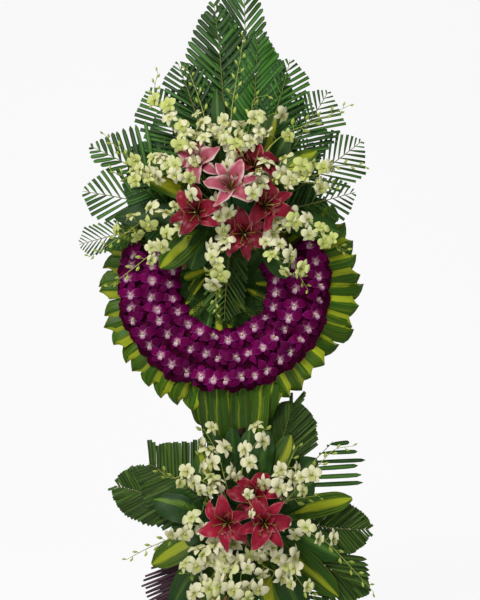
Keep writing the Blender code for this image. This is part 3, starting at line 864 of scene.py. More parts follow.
def collar_arc(first, count):
    """Leaves on radial paths. Half width: 19 mm at the inner end, 29.5 mm at the notch, then to a
    point. Lift: fold height * (1 - |s|), less a lean that tucks one edge under the next leaf. The
    leaves at the lower right are up to 22 mm shorter."""
    roll = dice(f"collar{first}")
    angle = COLLAR_START + (first + np.arange(count) + 0.5) * 2 * math.pi / COLLAR_LEAVES
    angle = (angle + roll.normal(0, 0.012, count))[:, None]
    notch = roll.uniform(0.82, 0.88, count)[:, None]
    rising = np.linspace(0, 1, 8) * notch
    point = notch + (1 - notch) * np.array([0.3, 0.65, 1.0])
    t = np.concatenate([rising, point], axis=1)
    outer = collar_tip + roll.uniform(-0.012, 0.004, count)[:, None]
    outer = outer - SHORT_BY * np.exp(-((angle - SHORT_SIDE) / 0.44) ** 2)
    radius = COLLAR_INNER + (outer - COLLAR_INNER) * t
    sway = roll.normal(0, 0.012, count)[:, None] * t ** 2 + roll.normal(0.030, 0.024, count)[:, None] * t ** 9
    depth = collar_high[1] - 0.0035 + roll.uniform(-0.004, 0.010, count)[:, None] * t ** 2
    path = around(collar_centre, angle + sway, radius, depth)
    full = 0.019 + 0.0105 * np.minimum(t / notch, 1)
    half = np.where(t <= notch, full, full + (0.0010 - full) * (t - notch) / (1 - notch))
    s = np.linspace(-1, 1, 5)
    fold = FOLD_HEIGHT * roll.uniform(0.75, 1.25, count)[:, None, None] * (1 - np.abs(s))
    fold = fold * profile(t, (0, 0.3, 1), (0.4, 1.0, 0.9))[..., None] - 0.003 * s
    fold = fold + 0.0007 * np.sin(9 * t[..., None] + 4 * s + roll.uniform(0, 6, count)[:, None, None])
    return blade(path, half, fold, columns=5, thick=0.0007, tint=roll.uniform(0, 1, count))


two_tone_leaf = leaf_finish("two_tone_leaf", "#355C0C", "#A0AC22", -0.66, 0.33, 0.08, veins=9.0,
                            variation=0.55, roughness=0.34, bump=0.0005, streaks=2.0)
share = COLLAR_LEAVES // COLLAR_ARCS
for k in range(COLLAR_ARCS):
    finish_piece(f"folded_leaves_{k + 1}", collar_arc(k * share, share), [two_tone_leaf],
                 [f"collar_leaves_{k + 1}"], sharp=math.radians(26))
print("collar:", PIECES[-3:])

# %% [markdown]
# ## Long leaves below the ring
# Below the ring eight long leaves hang side by side from the rim down to where they are tied off.
# They hide the mast between the two tiers. They are wide blades with a soft channel, and three
# turns of dark tape tie them.

# %% Hang the long leaves
# Each leaf: x at the top, x at the tip, height of the tip and width, in millimetres
SKIRT_LEAVES = ((-56, -40, 628, 50), (-26, -10, 600, 52), (6, 14, 590, 54), (38, 40, 588, 54),
                (70, 62, 598, 52), (102, 86, 625, 50), (-88, -66, 684, 46), (132, 108, 694, 46))
SKIRT_TOP = 0.800
SKIRT_DEPTH = -0.056
SKIRT_TIP_DEPTH = -0.034
TIE_CENTRE = (0.034, -0.068, 0.664)
TIE_HALF_WIDTH = 0.016
TIE_HALF_DEPTH = 0.012
TAPE_TURNS = 3
TAPE_PITCH = 0.0065
TAPE_RADIUS = 0.0042


def skirt():
    """Blades from the rim to the tie; every other one lies a few millimetres in front."""
    rows = 18
    t = np.linspace(0, 1, rows)
    s = np.linspace(-1, 1, 7)
    made = []
    for i, (top_x, tip_x, tip_height, width) in enumerate(metres(*SKIRT_LEAVES)):
        depth = SKIRT_DEPTH - 0.004 * (i % 2)
        root = (top_x, depth - 0.004, SKIRT_TOP)
        tip = (tip_x, SKIRT_TIP_DEPTH - 0.006 * (i % 2), tip_height)
        middle = ((top_x + tip_x) / 2, depth - 0.012, (SKIRT_TOP + tip_height) / 2)
        half = width / 2 * profile(t, (0, 0.15, 0.55, 0.85, 0.96, 1), (0.55, 0.9, 1.0, 0.8, 0.45, 0.1))
        lift = 0.005 * (s ** 2) * np.cos(t * 2.4)[:, None] + 0.0012 * np.sin(7 * t[:, None] + i + 2 * s)
        made.append(blade(bend(root, middle, tip, rows), half, lift, columns=7, tint=(i * 0.37) % 1))
    return join(made)


def tie():
    """Three turns of tape, each a flattened loop round the gathered leaves, one under the other."""
    turn = np.linspace(0, 2 * math.pi, 40)
    loops = []
    for k in range(TAPE_TURNS):
        x = TIE_CENTRE[0] + TIE_HALF_WIDTH * np.cos(turn)
        depth = TIE_CENTRE[1] - TIE_HALF_DEPTH * np.sin(turn)
        height = TIE_CENTRE[2] + TAPE_PITCH * (k - 1) + 0.0025 * np.sin(turn + k)
        loops.append(stem(np.stack([x, depth, height], axis=-1), TAPE_RADIUS, facing=(0, 0.1, 1.0)))
    return join(loops)


striped_leaf = leaf_finish("striped_leaf", "#2C5204", "#87991A", 0.15, 0.12, 0.10, variation=0.5, streaks=2.0)
florist_tape = leaf_finish("florist_tape", "#2A1E12", "#43301C", softness=0.4, veins=2.0, roughness=0.6)
finish_piece("skirt_leaves", skirt(), [striped_leaf], ["skirt_leaf"])
finish_piece("skirt_tie", tie(), [florist_tape])
print("skirt:", PIECES[-2:])

# %% [markdown]
# ## One orchid flower
# A dendrobium head has three narrow sepals behind, two broad petals in front, and a lip that comes
# forward and down under a small column. One function makes the purple head, the open white one and
# the young one, each facing +Z with +Y up, with a few dozen quads, because they are laid down
# hundreds of times. Slots: 0 petals, 1 lip, 2 column.

# %% Model the orchid head
SEPAL_ANGLES = np.radians([90.0, -50.0, -130.0])
PETAL_ANGLES = np.radians([16.0, 164.0])
PETAL_STEPS = np.array([0.0, 0.3, 0.62, 0.86, 1.0])
ROUND_PETAL = np.array([0.24, 0.78, 1.0, 0.80, 0.26])
POINTED_PETAL = np.array([0.26, 0.84, 1.0, 0.60, 0.06])


def petal_ring(angles, length, half_width, shape, cup, sweep, edge=-0.16):
    """Petals that spread from the z axis: out = length * t along each angle, rise = cup * sin(pi t)
    - sweep * t^2. The edges bend back by a share of the width."""
    t = PETAL_STEPS
    out = length * t * (1 - 0.04 * t)
    rise = cup * np.sin(math.pi * t) - sweep * t ** 2
    lift = edge * half_width * shape[:, None] * np.linspace(-1, 1, 3) ** 2
    return blade(spread(angles, out, rise), half_width * shape, lift, facing=(0, 0, 1))


def orchid(sepal, petal, sepal_half, petal_half, shape, cup=0.004, sweep=0.004, lip=1.0):
    """Sepals a little behind the petals, a lip that runs forward and curls down, and a column."""
    sepals = petal_ring(SEPAL_ANGLES, sepal, sepal_half, POINTED_PETAL, cup, sweep + 0.002)
    sepals = sepals._replace(points=sepals.points - (0, 0, 0.0015))
    petals = petal_ring(PETAL_ANGLES, petal, petal_half, shape, cup * 1.3, sweep)
    t = np.array([0.0, 0.35, 0.75, 1.0])
    path = np.stack([0 * t, -0.003 - 0.015 * lip * t ** 1.3, 0.002 + 0.011 * lip * np.sin(t * 2.4)], axis=-1)
    half = 0.0080 * lip * np.array([0.4, 0.9, 1.0, 0.35])
    trough = half[:, None] * np.array([0.9, 0.0, 0.9]) * np.array([1.0, 0.7, 0.2, -0.1])[:, None]
    lips = blade(path, half, trough, facing=(0, 0.5, 1), slot=1)
    t = np.linspace(0, 1, 3)
    path = np.stack([0 * t, 0.003 - 0.002 * t, -0.008 + 0.019 * t], axis=-1)
    column = stem(path, 0.0030 * np.array([0.6, 1.1, 0.8]), 4, facing=(0, 1, 0.2), slot=2)
    return join([sepals, petals, lips, column])


purple_head = orchid(0.034, 0.036, 0.0086, 0.0128, POINTED_PETAL, cup=0.008, sweep=0.008, lip=0.8)
open_orchid = orchid(0.030, 0.031, 0.0075, 0.0130, ROUND_PETAL, cup=0.007, sweep=0.001)
young_orchid = orchid(0.026, 0.026, 0.0078, 0.0115, ROUND_PETAL, cup=0.009, sweep=-0.009)
print("orchid head:", len(open_orchid.quads), "quads")

# %% [markdown]
# ## The purple ring
# Sixty-three purple heads are pinned in three rows along the straw ring, in a C that is open at the
# top where the foliage sits. Four rows of plain petals lie under them and fill the gaps, their colour
# darkened as painted shade. The rows are arcs, and each head sits on a domed pad, near black as
# painted shade, and leans with it. The heads are all about upright, with a little roll each, as a
# florist's hand leaves them.

# %% Pin the purple orchids
BED_START = math.radians(153)
BED_END = math.radians(386)
BED_ROWS = (0.149, 0.203, 0.262)
UNDER_ROWS = (0.136, 0.176, 0.232, 0.281)
BED_PITCH = 0.0395
UNDER_PITCH = 0.034
BED_HALF_WIDTH = 0.0805
BED_MIDDLE = 0.2155
BED_OUTER = 0.296
BED_EDGE_RISE = 0.018
BED_CREST_RISE = 0.026
BED_FRONT = ring_low[1]
PAD_GAP = 0.01
BED_SIDES = ("left", "bottom", "right")
bed_boxes = [plane_box(f"orchid_bed_{side}") for side in BED_SIDES]
bed_low = np.min([low for low, _ in bed_boxes], axis=0)
bed_high = np.max([high for _, high in bed_boxes], axis=0)
bed_centre = np.array([(bed_low[0] + bed_high[0]) / 2, 0.0, bed_low[2] + BED_OUTER])


def pad_rise(radius):
    """How far the pad stands in front of the ring, as a circle's height over its chord: 18 mm at its
    edges, 44 mm on its crest. Also gives the share of the way from its middle to its edge."""
    share = np.clip((radius - BED_MIDDLE) / BED_HALF_WIDTH, -1, 1)
    return BED_EDGE_RISE + BED_CREST_RISE * np.sqrt(1 - share ** 2), share


def orchid_shade_pad(start, end):
    """A domed arc of leaf litter under the heads, near black as painted shade, ruffled, on a grid of section
    by angle.
    """
    angle = np.linspace(start, end, 40)
    turn = np.linspace(0, 2 * math.pi, 24, endpoint=False)
    radius = BED_MIDDLE + (BED_HALF_WIDTH - 0.012) * np.cos(turn)
    rise = np.where(np.sin(turn) > 0, 0.010 + 0.022 * np.sin(turn), 0.0015)
    ruffle = 0.003 * np.sin(angle[:, None] * 70 + turn * 3) * np.sin(turn * 7)
    rings = around(bed_centre, angle[:, None], radius + ruffle, BED_FRONT - rise - np.abs(ruffle))
    return close_rings(rings[None], np.array([0.5, 0.5, 0.5]))


def purple_heads(name, start, end, rows, pitch, sink, lean, roll_range):
    """Seats on arcs between two angles, staggered from row to row; facing leans out with the pad."""
    roll = dice(name)
    radii, angles = [], []
    for k, radius in enumerate(rows):
        count = max(1, round(radius * (end - start) / pitch))
        place = (np.arange(count) + (0.25 if k % 2 else 0.75)) / count
        angles.append(start + (end - start) * place)
        radii.append(np.full(count, radius))
    radius = np.concatenate(radii)
    angle = np.concatenate(angles) + roll.normal(0, 0.014, len(radius))
    radius = radius + roll.normal(0, 0.0030, len(radius))
    rise, share = pad_rise(radius)
    outward = np.stack([np.cos(angle), 0 * angle, np.sin(angle)], axis=-1)
    seats = around(bed_centre, angle, radius, -(rise - sink - BED_FRONT))
    facing = FORWARD + outward * (share * lean)[:, None] + roll.normal(0, 0.24, seats.shape)
    up = UP + RIGHT * roll.normal(0, roll_range, len(seats))[:, None]
    axes = look(facing, up, roll.uniform(0.96, 1.12, len(seats)))
    return seats, axes, roll.uniform(0, 1, len(seats))


# In the purple petals the lighter violet rim is a painted highlight on their edges.
PURPLE_HEAD = [
    petal_finish("purple_petal", "#DDA0C8", "#680046", "#98248A", 0.29, 0.82, 1.4, 0.6, 0.55, shine=0.06),
    petal_finish("purple_lip", "#EFE2D8", "#B06A9C", "#8A2468", 0.9, 0.75, 0.3),
    petal_finish("orchid_column", "#8F8436", "#D9CF98", "#E6DCC0", 0.6, 0.9)]
# The petals under the heads are darker copies of the purple petals: their dark colour is painted shade.
SHADED_UNDER_HEAD = [
    petal_finish("shaded_under_petal", "#2A0016", "#480028", "#6C0C48", 0.30, 0.8, 0.9, 0.6, 0.6, shine=0.05)]
# The pad's near-black colour is painted shade in the gaps between the heads.
bed_painted_shade = grain_finish("bed_painted_shade", (160, 160, 160), "#0C1A08", "#24101C", 0.7, 0.002, 2.4)
under_head = join([petal_ring(SEPAL_ANGLES, 0.028, 0.0115, POINTED_PETAL, 0.004, 0.004),
                   petal_ring(PETAL_ANGLES, 0.030, 0.0160, POINTED_PETAL, 0.005, 0.002)])
span = (BED_END - BED_START) / len(BED_SIDES)
for k, side in enumerate(BED_SIDES):
    start = BED_START + k * span
    end = start + span
    seats, axes, tints = purple_heads(f"purple{side}", start, end, BED_ROWS, BED_PITCH, -0.004, 0.40, 0.30)
    made = copies(purple_head, axes, seats, tints)
    finish_piece(f"purple_orchids_{side}", made, PURPLE_HEAD, [f"orchid_bed_{side}"])
    print(side, "heads:", len(seats))
    seats, axes, tints = purple_heads(f"under{side}", start, end, UNDER_ROWS, UNDER_PITCH, 0.007, 0.9, 3.0)
    made = copies(under_head, axes, seats, tints)
    finish_piece(f"shaded_purple_petals_{side}", made, SHADED_UNDER_HEAD)
    made = orchid_shade_pad(start + PAD_GAP, end - PAD_GAP)
    finish_piece(f"orchid_shade_pad_{side}", made, [bed_painted_shade])

# %% [markdown]
# ## Palm fronds
# An areca frond has a pale stalk and two rows of narrow leaflets. The florist trims them with
# scissors to an outline, so many leaflets end in a straight cut, and white slits show between them.
# To trim in numpy, each leaflet's length is tried in many small steps at once, and the first step
# that lands outside the outline is kept. An outline and an end are short lists: shares of the
# length, and the widths there.

# %% The frond maker
LEAFLET_STEPS = np.array([0.0, 0.12, 0.3, 0.55, 0.8, 0.93, 1.0])
FROND_OUTLINES = {
    "oval": ((0, 0.1, 0.25, 0.46, 0.7, 0.85, 0.95, 1), (0.3, 0.62, 0.88, 1.0, 0.90, 0.70, 0.46, 0.20)),
    "wedge": ((0, 0.15, 0.4, 1), (0.45, 0.85, 1.0, 1.0)),
    "kite": ((0, 0.3, 0.55, 0.67, 0.8, 0.93, 1), (0.8, 1.0, 1.0, 0.80, 0.66, 0.52, 0.42)),
    "spear": ((0, 0.4, 0.6, 0.8, 1), (0.9, 1.0, 1.0, 0.54, 0.08)),
    "spire": ((0, 0.3, 0.6, 0.8, 0.9, 1), (0.85, 1.0, 0.95, 0.60, 0.38, 0.12)),
}
LAST_SEAT = 0.992
LAST_SEAT_OVAL = 0.97
CUT_END = ((0, 0.25, 0.6, 0.92, 1), (0.30, 0.66, 0.92, 1.0, 1.0))
CLOSE_END = ((0, 0.06, 0.5, 0.92, 1), (0.70, 0.95, 1.05, 1.25, 1.15))
TAPER_END = ((0, 0.06, 0.45, 0.7, 1), (0.80, 1.05, 1.05, 0.70, 0.45))
ROUND_END = ((0, 0.3, 0.7, 0.92, 0.98, 1), (0.35, 0.85, 1.0, 0.86, 0.55, 0.15))
TIP_CUT = math.tan(math.radians(52))
NO_CEILING = 9.0
TRIALS = 120
LONGEST = 1.2
SHORTEST_LEAFLET = 0.006


def frond(name, root, tip, width, bare, pitch=0.019, leaflet=0.009, opening=(52.0, 38.0), outline="wedge",
          ends=CUT_END, lopsided=0.0, bow=0.012, sway=0.02, fold=0.30, wild=1.0, ceiling=NO_CEILING):
    """A stalk from root to tip and leaflets on both sides. A leaflet leaves the stalk at an opening
    angle that narrows towards the tip, and is as long as the outline, the cut tip and the ceiling
    let it be. Slots: 0 leaflets, 1 stalk."""
    roll = dice(name)
    root, tip = np.asarray(root, float), np.asarray(tip, float)
    length = np.linalg.norm(tip - root)
    along = (tip - root) / length
    right = unit(np.cross(along, FORWARD))
    out = np.cross(right, along)
    t = np.linspace(0, 1, 20)
    curve = 4 * t * (1 - t)
    stalk = root + (tip - root) * t[:, None] + right * (sway * curve * length)[:, None]
    stalk = stalk + out * (bow * curve)[:, None]
    parts = [stem(stalk, profile(t, (0, 0.5, 1), (0.0026, 0.0018, 0.0008)), slot=1)]
    last = length * (LAST_SEAT_OVAL if outline == "oval" else LAST_SEAT)
    for side in (-1, 1):
        seat = np.arange(bare + pitch * (0.25 if side > 0 else 0), last, pitch) / length
        count = len(seat)
        seat = seat + roll.uniform(-0.05, 0.05, count) * pitch / length * wild
        share = np.clip((seat * length - bare) / (length - bare), 0, 1)
        angle = opening[0] + (opening[1] - opening[0]) * share ** 0.8 + roll.normal(0, 0.9, count) * wild
        angle = np.radians(angle)
        start = np.stack([np.interp(seat, t, stalk[:, k]) for k in range(3)], axis=-1)
        heading = np.cos(angle)[:, None] * along + side * np.sin(angle)[:, None] * right
        trial = np.linspace(0.0, width * LONGEST, TRIALS)
        reach = (seat[:, None] * length + trial * np.cos(angle)[:, None] - bare) / (length - bare)
        room = width / 2 * profile(reach, *FROND_OUTLINES[outline]) * (1 + side * lopsided)
        if outline == "wedge":
            room = np.minimum(room, np.maximum(1.02 - reach, 0) * (length - bare) * TIP_CUT + 0.004)
        outside = (trial * np.sin(angle)[:, None] > room) | (reach > 1.16)
        outside = outside | (start[:, 2:] + trial * heading[:, 2:] > ceiling)
        size = trial[np.argmax(outside | (trial >= width * 1.19), axis=1)] * roll.uniform(0.97, 1.02, count)
        size = np.maximum(size, SHORTEST_LEAFLET)
        q = LEAFLET_STEPS
        rise = 0.10 * q - (0.15 + roll.uniform(-0.05, 0.09, count) * wild)[:, None] * q ** 2
        path = start[:, None] + heading[:, None] * (size[:, None] * q)[..., None]
        path = path + out * (rise * size[:, None])[..., None]
        path = path + along * (0.04 * size[:, None] * q ** 2)[..., None]
        half = leaflet / 2 * profile(q, *ends)
        half = half * np.clip(size / 0.05, 0.6, 1)[:, None] * roll.uniform(0.88, 1.08, count)[:, None]
        tilt = FORWARD + side * right * 0.15 + along * roll.normal(0.05, 0.14, count)[:, None] * wild
        keel = half[..., None] * np.array([0.0, -fold, 0.0])
        parts.append(blade(path, half, keel, tilt[:, None], 0.0005, tint=roll.uniform(0, 1, count)))
    return join(parts)


PALM = {"veins": 5.0, "bump": 0.0003}
DARK_PALM = {**PALM, "variation": 0.8, "roughness": 0.4}
palm_leaf = leaf_finish("palm_leaf", "#25481A", "#4F7E30", width=0.35, variation=0.75, **PALM)
bright_palm_leaf = leaf_finish("bright_palm_leaf", "#29561C", "#4C842C", width=0.4, variation=0.6, **PALM)
dark_palm_leaf = leaf_finish("dark_palm_leaf", "#16341A", "#335F30", width=0.35, **DARK_PALM)
red_palm_leaf = leaf_finish("red_palm_leaf", "#2A1C18", "#644052", 0.1, **DARK_PALM)
close_palm_leaf = leaf_finish("close_palm_leaf", "#24400E", "#527028", 0.3, variation=0.45,
                              roughness=0.38, **PALM)
palm_stalk = leaf_finish("palm_stalk", "#6B7238", "#9A9650", veins=4.0, roughness=0.45)
print("frond maker ready")

# %% [markdown]
# ## The fan above and the fronds below
# The frame gives fourteen fronds: their roots in the foam and their tips are read from its solids.
# Twenty more fill the fan and the lower tier. The tall ones have broad leaflets at a steep angle,
# the side ones narrow leaflets that spread wide. A style gives the distance between leaflets, their
# width, their opening angle at the foot and at the tip of the frond, and what else sets it apart.

# %% Push in the fronds
def frond_style(pitch, leaflet, opening, **more):
    """Settings of the frond maker: pitch and leaflet width in millimetres, opening in degrees."""
    return {"pitch": pitch / 1000, "leaflet": leaflet / 1000, "opening": opening, **more}


FAN_TOP = 1.958
LEVEL_TOP = 0.648
TALL = frond_style(25, 14, (46, 34), outline="kite", ends=ROUND_END, lopsided=-0.3, ceiling=FAN_TOP)
TALL_LEFT = frond_style(25, 16.5, (50, 38), outline="spire", ends=ROUND_END, ceiling=FAN_TOP)
TALL_RIGHT = frond_style(18, 18, (46, 34), outline="spire", ends=ROUND_END)
LOOSE = frond_style(22.5, 11.2, (54, 36))
WIDE = frond_style(22.5, 13, (54, 36), lopsided=0.6, ends=ROUND_END)
FINE = frond_style(19, 8.2, (54, 42))
FINEST = frond_style(13, 6, (54, 42))
SLIT = frond_style(16.5, 8, (42, 36))
CLOSE = frond_style(10.8, 10.4, (56, 40), outline="oval", fold=0.5, ends=CLOSE_END)
LOPPED = frond_style(10, 8.5, (34, 22), outline="oval", fold=0.5, ends=CLOSE_END, lopsided=0.15, wild=0.4)
DENSE = frond_style(11.8, 11.4, (52, 40), ends=CLOSE_END)
TAPERED = frond_style(15, 13, (44, 28), ends=TAPER_END)
CORE = frond_style(11.8, 11.4, (44, 34), ends=CLOSE_END, outline="spear")
LEVEL = frond_style(11.8, 11.4, (62, 55), ends=CLOSE_END, outline="kite", ceiling=LEVEL_TOP)
FILL = frond_style(16.5, 11, (56, 44))
FINGERS = frond_style(23, 17.5, (30, 12), ends=ROUND_END)
STRAPS = frond_style(33, 13, (42, 38), ends=ROUND_END, outline="kite", lopsided=0.95)
# Width and bare foot of the frame's fronds, in millimetres, and style
FRAME_FRONDS = {
    "upper_frond_top": (245, 160, TALL),
    "upper_frond_top_left": (245, 160, TALL_LEFT),
    "upper_frond_right_high": (170, 130, FINE),
    "upper_frond_right": (160, 130, FINE),
    "upper_frond_left_high": (170, 130, LOOSE),
    "upper_frond_left": (200, 130, WIDE),
    "upper_frond_left_low": (150, 120, LOOSE),
    "upper_frond_left_hanging": (85, 160, FINEST),
    "centre_frond": (115, 50, SLIT),
    "lower_frond_left": (165, 70, CLOSE),
    "lower_frond_left_low": (200, 60, TAPERED),
    "lower_frond_top_right": (175, 90, LOPPED),
    "lower_frond_right": (150, 70, CLOSE),
    "lower_frond_right_low": (160, 90, FINGERS),
}
# Root and tip (right, back, up) from the brick's front, width and bare foot, in millimetres, and style
MORE_FRONDS = {
    "upper_frond_top_right": ((25, 60, 20), (72, 64, 535), 215, 140, TALL_RIGHT),
    "upper_frond_right_tip": ((30, 58, 20), (165, 58, 450), 130, 140, LOOSE),
    "upper_frond_right_low": ((85, 45, -5), (345, 45, 60), 130, 120, FINE),
    "upper_frond_left_tip": ((-35, 58, 20), (-155, 58, 440), 130, 140, LOOSE),
    "upper_frond_left_fill": ((-45, 66, 20), (-205, 66, 300), 210, 50, FILL),
    "upper_frond_right_fill": ((50, 66, 20), (215, 66, 330), 210, 50, FILL),
    "upper_frond_top_fill": ((0, 67, 20), (-10, 67, 400), 220, 60, FILL),
    "upper_frond_middle_left": ((-30, 68, 20), (-110, 68, 400), 200, 80, FILL),
    "upper_frond_middle_right": ((40, 68, 20), (125, 68, 400), 200, 80, FILL),
    "lower_frond_left_high": ((-50, 70, 20), (-262, 75, 155), 260, 50, LEVEL),
    "upper_frond_core": ((-4, 70, 20), (-8, 72, 575), 115, 60, CORE),
    "upper_frond_left_far": ((-70, 70, 20), (-290, 70, 190), 170, 50, DENSE),
    "upper_frond_left_side": ((-80, 70, 0), (-305, 70, 90), 150, 50, DENSE),
    "upper_frond_left_under": ((-80, 66, -10), (-285, 66, 0), 150, 50, DENSE),
    "upper_frond_right_far": ((70, 70, 20), (222, 70, 215), 150, 50, FILL),
    "upper_frond_right_side": ((80, 70, 0), (245, 70, 125), 140, 50, FILL),
    "upper_frond_right_under": ((80, 66, -10), (262, 66, 45), 130, 50, FILL),
    "lower_frond_right_high": ((60, 70, 45), (250, 72, 215), 222, 70, STRAPS),
    "lower_frond_down_right": ((50, 60, -30), (200, 60, -270), 180, 50, FILL),
    "lower_frond_down": ((0, 64, -30), (20, 64, -290), 200, 50, FILL),
}
FROND_LEAVES = {"lower_frond_left_low": red_palm_leaf}
for made, names in {bright_palm_leaf: ("upper_frond_top_right", "upper_frond_middle_right"),
                    dark_palm_leaf: ("upper_frond_core", "upper_frond_top_fill"),
                    close_palm_leaf: ("centre_frond", "lower_frond_left", "lower_frond_top_right",
                                      "lower_frond_right", "lower_frond_left_high",
                                      "lower_frond_right_low")}.items():
    FROND_LEAVES.update(dict.fromkeys(names, made))


def push_in_frond(name, ends, width, bare, style, nodes=()):
    """Makes one frond from its root and tip, with the leaf finish that its name asks for."""
    made = frond(name, *ends, *metres(width, bare), **style)
    finish_piece(f"{name}_leaflets", made, [FROND_LEAVES.get(name, palm_leaf), palm_stalk], nodes)


for name, (width, bare, style) in FRAME_FRONDS.items():
    push_in_frond(name, stem_run(name, own_brick(name)), width, bare, style, [name])
for name, (root, tip, width, bare, style) in MORE_FRONDS.items():
    push_in_frond(name, own_brick(name) + metres(root, tip), width, bare, style)
print("fronds:", len(FRAME_FRONDS) + len(MORE_FRONDS))

# %% [markdown]
# ## Broad striped leaves
# Single dracaena leaves show between the flowers, glossy and arched. Some have a lime stripe down
# the middle or one side, some are nearly all yellow, and most are plain. Each is a blade of nine
# columns: a channel along the middle, and a wave along the margin.


# %% The broad leaf maker and its leaves
LEAF_SHAPE = ((0, 0.12, 0.35, 0.6, 0.82, 0.93, 0.98, 1), (0.35, 0.58, 0.90, 1.0, 0.84, 0.54, 0.27, 0.05))
STRIP_SHAPE = ((0, 0.1, 0.3, 0.8, 0.94, 0.98, 1), (0.35, 0.60, 0.90, 1.0, 0.80, 0.50, 0.15))


def broad_leaf(name, root, tip, width, arch=0.03, channel=0.16, facing=FORWARD, shape=LEAF_SHAPE):
    """A blade from root to tip over an arch. Half width follows a short list, full past the middle,
    with its corners rounded. Lift: channel * s^2, which turns over towards the tip, plus a wave
    along the margin."""
    roll = dice(name)
    rows = 24
    t = np.linspace(0, 1, rows)
    s = np.linspace(-1, 1, 9)
    root, tip = np.asarray(root, float), np.asarray(tip, float)
    middle = (root + tip) / 2 + FORWARD * arch
    half = width / 2 * profile(t, *shape)
    half = np.convolve(np.pad(half, 1, mode="edge"), (0.25, 0.5, 0.25), mode="valid")
    lift = channel * half[:, None] * s ** 2 * np.cos(2.5 * t)[:, None]
    lift = lift + 0.0022 * np.abs(s) ** 3 * np.sin(9 * t[:, None] + roll.uniform(0, 6))
    turned = facing + RIGHT * roll.normal(0, 0.12) + UP * 0.10
    return blade(bend(root, middle, tip, rows), half, lift, facing=turned, columns=9, thick=0.0009,
                 tint=roll.uniform(0, 1))


LEAF_FINISHES = {
    "dim": leaf_finish("dim_leaf", "#1D4410", "#6C9424", 0.34, 0.20, 0.14, variation=0.4, roughness=0.34,
                       streaks=1.4),
    "middle": leaf_finish("middle_striped_leaf", "#2C560E", "#A4B020", 0.0, 0.27, 0.14, variation=0.4,
                          streaks=2.2),
    "side": leaf_finish("side_striped_leaf", "#2A5010", "#A4AC26", 0.50, 0.34, 0.10, variation=0.4,
                        streaks=2.0),
    "plain": leaf_finish("plain_leaf", "#264A12", "#53782C", 0.0, 0.12, 0.2, veins=16.0, variation=0.4,
                         roughness=0.42, bump=0.0003, streaks=1.2),
    "yellow": leaf_finish("yellow_leaf", "#44701A", "#B4B81E", 0.1, 0.55, 0.14, streaks=2.4),
}
# Width of the frame's leaves in millimetres, and finish
FRAME_LEAVES = {
    "upper_leaf_left": (85, "middle"),
    "upper_leaf_right": (66, "middle"),
    "lower_leaf_left": (78, "dim"),
    "lower_leaf_left_low": (78, "middle"),
    "lower_leaf_right_low": (75, "middle"),
    "lower_leaf_right": (68, "middle"),
}
# Root and tip (right, back, up) from the brick's front and width, in millimetres, and finish
MORE_LEAVES = {
    "upper_leaf_left_high": ((-80, 0, 20), (-262, 0, 110), 66, "yellow"),
    "upper_leaf_left_pale": ((-80, 10, -10), (-325, 10, -20), 66, "plain"),
    "upper_leaf_upright_left": ((-25, 10, 50), (-43, 10, 350), 46, "plain"),
    "upper_leaf_upright_right": ((46, 10, 50), (122, 10, 285), 46, "side"),
    "upper_leaf_glossy_right": ((72, 6, 40), (235, -10, 165), 70, "middle"),
    "upper_leaf_right_dark": ((90, 20, -20), (300, 20, -60), 75, "plain"),
    "upper_leaf_low_left": ((-60, 10, -45), (-112, 16, -166), 70, "plain"),
    "upper_leaf_low_right": ((70, 10, -45), (150, 16, -190), 70, "plain"),
    "upper_leaf_back_left": ((-50, 36, 50), (-150, 40, 215), 60, "plain"),
    "upper_leaf_back_right": ((70, 36, 50), (160, 40, 225), 60, "plain"),
    "lower_leaf_down_left": ((-45, 10, -50), (-98, 6, -272), 66, "yellow"),
    "lower_leaf_down": ((48, 10, -50), (85, 6, -272), 62, "yellow"),
    "lower_leaf_down_far_left": ((-75, 30, -40), (-190, 16, -235), 80, "plain"),
    "lower_leaf_down_right": ((80, 20, -45), (165, 10, -275), 85, "plain"),
    "lower_leaf_down_middle": ((0, 30, -50), (0, 10, -280), 90, "plain"),
    "lower_leaf_up_right": ((45, 20, 50), (130, 10, 230), 66, "side"),
    "lower_leaf_up": ((-10, 36, 50), (-2, 46, 220), 70, "side"),
    "lower_leaf_up_left": ((-50, 36, 50), (-120, 40, 190), 75, "middle"),
    "lower_leaf_left_back": ((-80, 72, 10), (-215, 72, 150), 80, "plain"),
    "lower_leaf_right_back": ((85, 50, 0), (262, 50, -100), 85, "plain"),
    "lower_leaf_upright_1": ((-30, 20, 54), (-85, 20, 240), 60, "plain"),
    "lower_leaf_upright_2": ((-13, 14, 54), (-30, 14, 252), 56, "plain"),
    "lower_leaf_upright_3": ((9, 20, 54), (20, 20, 250), 60, "plain"),
    "lower_leaf_upright_4": ((33, 14, 54), (69, 14, 240), 60, "plain"),
    "lower_leaf_under_left": ((-60, 45, -10), (-205, 45, -45), 80, "plain"),
    "lower_leaf_over_right": ((60, 50, 20), (195, 50, 105), 90, "plain"),
    "lower_leaf_high_right": ((50, 62, 45), (205, 62, 165), 90, "plain"),
    "lower_leaf_up_back": ((20, 55, 50), (60, 55, 240), 85, "plain"),
}
FRAME_LEAF_ARCH = 0.030
MORE_LEAF_ARCH = 0.022
for name, (width, kind) in FRAME_LEAVES.items():
    made = broad_leaf(name, *stem_run(name, own_brick(name)), width / 1000, FRAME_LEAF_ARCH)
    finish_piece(f"{name}_blade", made, [LEAF_FINISHES[kind]], [name])
for name, (root, tip, width, kind) in MORE_LEAVES.items():
    made = broad_leaf(name, *(own_brick(name) + metres(root, tip)), width / 1000, MORE_LEAF_ARCH)
    finish_piece(f"{name}_blade", made, [LEAF_FINISHES[kind]])
print("broad leaves:", len(FRAME_LEAVES) + len(MORE_LEAVES))

# %% [markdown]
# ## The eye of the ring
# The open middle of the ring is filled with dark leaves that fan out from the mast, where they are
# tied, to under the purple heads. Twelve short strips of leaf lie over them, most of them yellow or
# striped, and sprigs of fine fern. The sprigs are small fronds, and more of them fill the two tiers.

